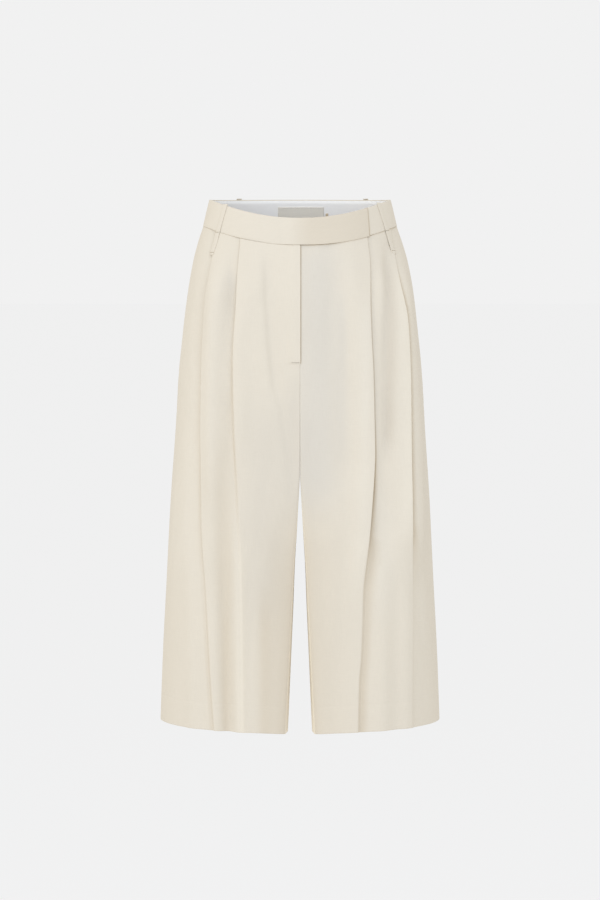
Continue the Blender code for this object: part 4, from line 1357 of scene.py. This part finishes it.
def woven(name, colour, pitch=0.0005, slub=0.012, relief=0.00003, roughness=0.9, sheen=0.08):
    """Matt cloth with this thread pitch, and slubs that change its colour by this share."""
    material = bpy.data.materials.new(name)
    material.use_nodes = True
    tree = material.node_tree
    shader = tree.nodes["Principled BSDF"]
    shader.inputs["Roughness"].default_value = roughness
    shader.inputs["Specular IOR Level"].default_value = 0.25
    shader.inputs["Sheen Weight"].default_value = sheen
    shader.inputs["Sheen Roughness"].default_value = 0.5
    on_cloth = add_node(tree, "TexCoord").outputs["UV"]
    down = stretched_noise(tree, on_cloth, SLUBS_DOWN, detail=2.0)
    across = stretched_noise(tree, on_cloth, SLUBS_ACROSS, detail=2.0)
    cloudy = stretched_noise(tree, on_cloth, WIDE_CLOUDS, detail=1.0)
    slubs = maths(tree, "ADD", down, across)
    clouds = maths(tree, "MULTIPLY", cloudy, CLOUDS)
    tone = maths(tree, "ADD", maths(tree, "MULTIPLY", slubs, slub), clouds)
    brightness = maths(tree, "ADD", tone, 1.0)
    tinted = add_node(tree, "VectorMath", {0: colour, "Scale": brightness}, operation="SCALE")
    # The sheet's shade attribute darkens the colour with painted shade, and lightens it with
    # painted light where it is negative.
    shade = add_node(tree, "Attribute", attribute_name="shade").outputs["Vector"]
    what_is_left = {0: shade, 1: (-1, -1, -1), 2: (1, 1, 1)}
    left = add_node(tree, "VectorMath", what_is_left, operation="MULTIPLY_ADD")
    colours = {0: tinted.outputs[0], 1: left.outputs[0]}
    shaded = add_node(tree, "VectorMath", colours, operation="MULTIPLY")
    tree.links.new(shaded.outputs[0], shader.inputs["Base Color"])
    bands = {"Vector": on_cloth, "Scale": math.pi / (10 * pitch)}
    threads = [
        add_node(tree, "TexWave", bands, bands_direction=direction).outputs["Fac"]
        for direction in ("X", "Y")
    ]
    weave = maths(tree, "MULTIPLY", *threads)
    height = maths(tree, "ADD", maths(tree, "MULTIPLY", slubs, SLUBS_STAND_OUT), weave)
    bump = add_node(tree, "Bump", {"Height": height, "Strength": 0.5, "Distance": relief})
    tree.links.new(bump.outputs["Normal"], shader.inputs["Normal"])
    return material


CREAM = (0.700, 0.632, 0.516)
cream_cloth = woven("cream_cloth", CREAM)
facing_cloth = woven("facing_cloth", (0.94, 0.915, 0.865), pitch=0.0004, slub=0.006)
label_weave = woven("label_weave", (0.77, 0.72, 0.62), pitch=0.0004, slub=0.02, roughness=0.7)
size_tab_weave = woven("size_tab_weave", (0.58, 0.47, 0.32), pitch=0.0004, slub=0.02)
tape_weave = woven("zip_tape_weave", (0.72, 0.67, 0.58), pitch=0.0006, slub=0.01)
print("cloth and weaves:", cream_cloth.name, facing_cloth.name, label_weave.name, tape_weave.name)

# %% Plain materials for thread and metal
def plain(name, colour, roughness=0.8, metallic=0.0):
    """One colour all over, with no pattern."""
    material = bpy.data.materials.new(name)
    material.use_nodes = True
    shader = material.node_tree.nodes["Principled BSDF"]
    shader.inputs["Base Color"].default_value = (*colour, 1.0)
    shader.inputs["Roughness"].default_value = roughness
    shader.inputs["Metallic"].default_value = metallic
    return material


sewing_thread = plain("sewing_thread", (0.72, 0.64, 0.51))
label_thread = plain("label_thread", (0.58, 0.54, 0.47))
nickel = plain("nickel", (0.72, 0.70, 0.66), roughness=0.35, metallic=1.0)
print("thread and metal:", sewing_thread.name, label_thread.name, nickel.name)

# %% Dress the pieces
def wear(obj, material):
    """Gives a piece this material and no other."""
    obj.data.materials.clear()
    obj.data.materials.append(material)


for sheet, _, _ in panels.values():
    wear(sheet, cream_cloth)
for strip, _ in loops:
    wear(strip, cream_cloth)
for obj, material in (
    (waistband, cream_cloth),
    (shield, cream_cloth),
    (facing, facing_cloth),
    (label, label_weave),
    (size_tab, size_tab_weave),
    (tape, tape_weave),
    (zip_teeth, tape_weave),
    (slider, nickel),
    (bar_tacks, sewing_thread),
    (label_stitches, label_thread),
):
    wear(obj, material)

# %% Place the pieces in the frame
def place(obj, nodes, slot=None):
    """The piece rides the garment's one body and stands for these nodes."""
    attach(obj, "root")
    if nodes:
        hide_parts(*nodes)


for name, (sheet, *_) in panels.items():
    place(sheet, [name], "cloth")
place(waistband, ["waistband"], "cloth")
place(facing, ["waistband_facing"], "facing")
place(label, ["label"], "label_weave")
place(size_tab, ["size_tab"], "size_tab_weave")
for strip, loop in loops:
    place(strip, [loop["name"]], "cloth")
place(tape, ["fly_zip"], "zip_tape")
place(shield, ["fly_underlap"], "cloth")
for extra in (zip_teeth, slider, bar_tacks, label_stitches):
    place(extra, [])
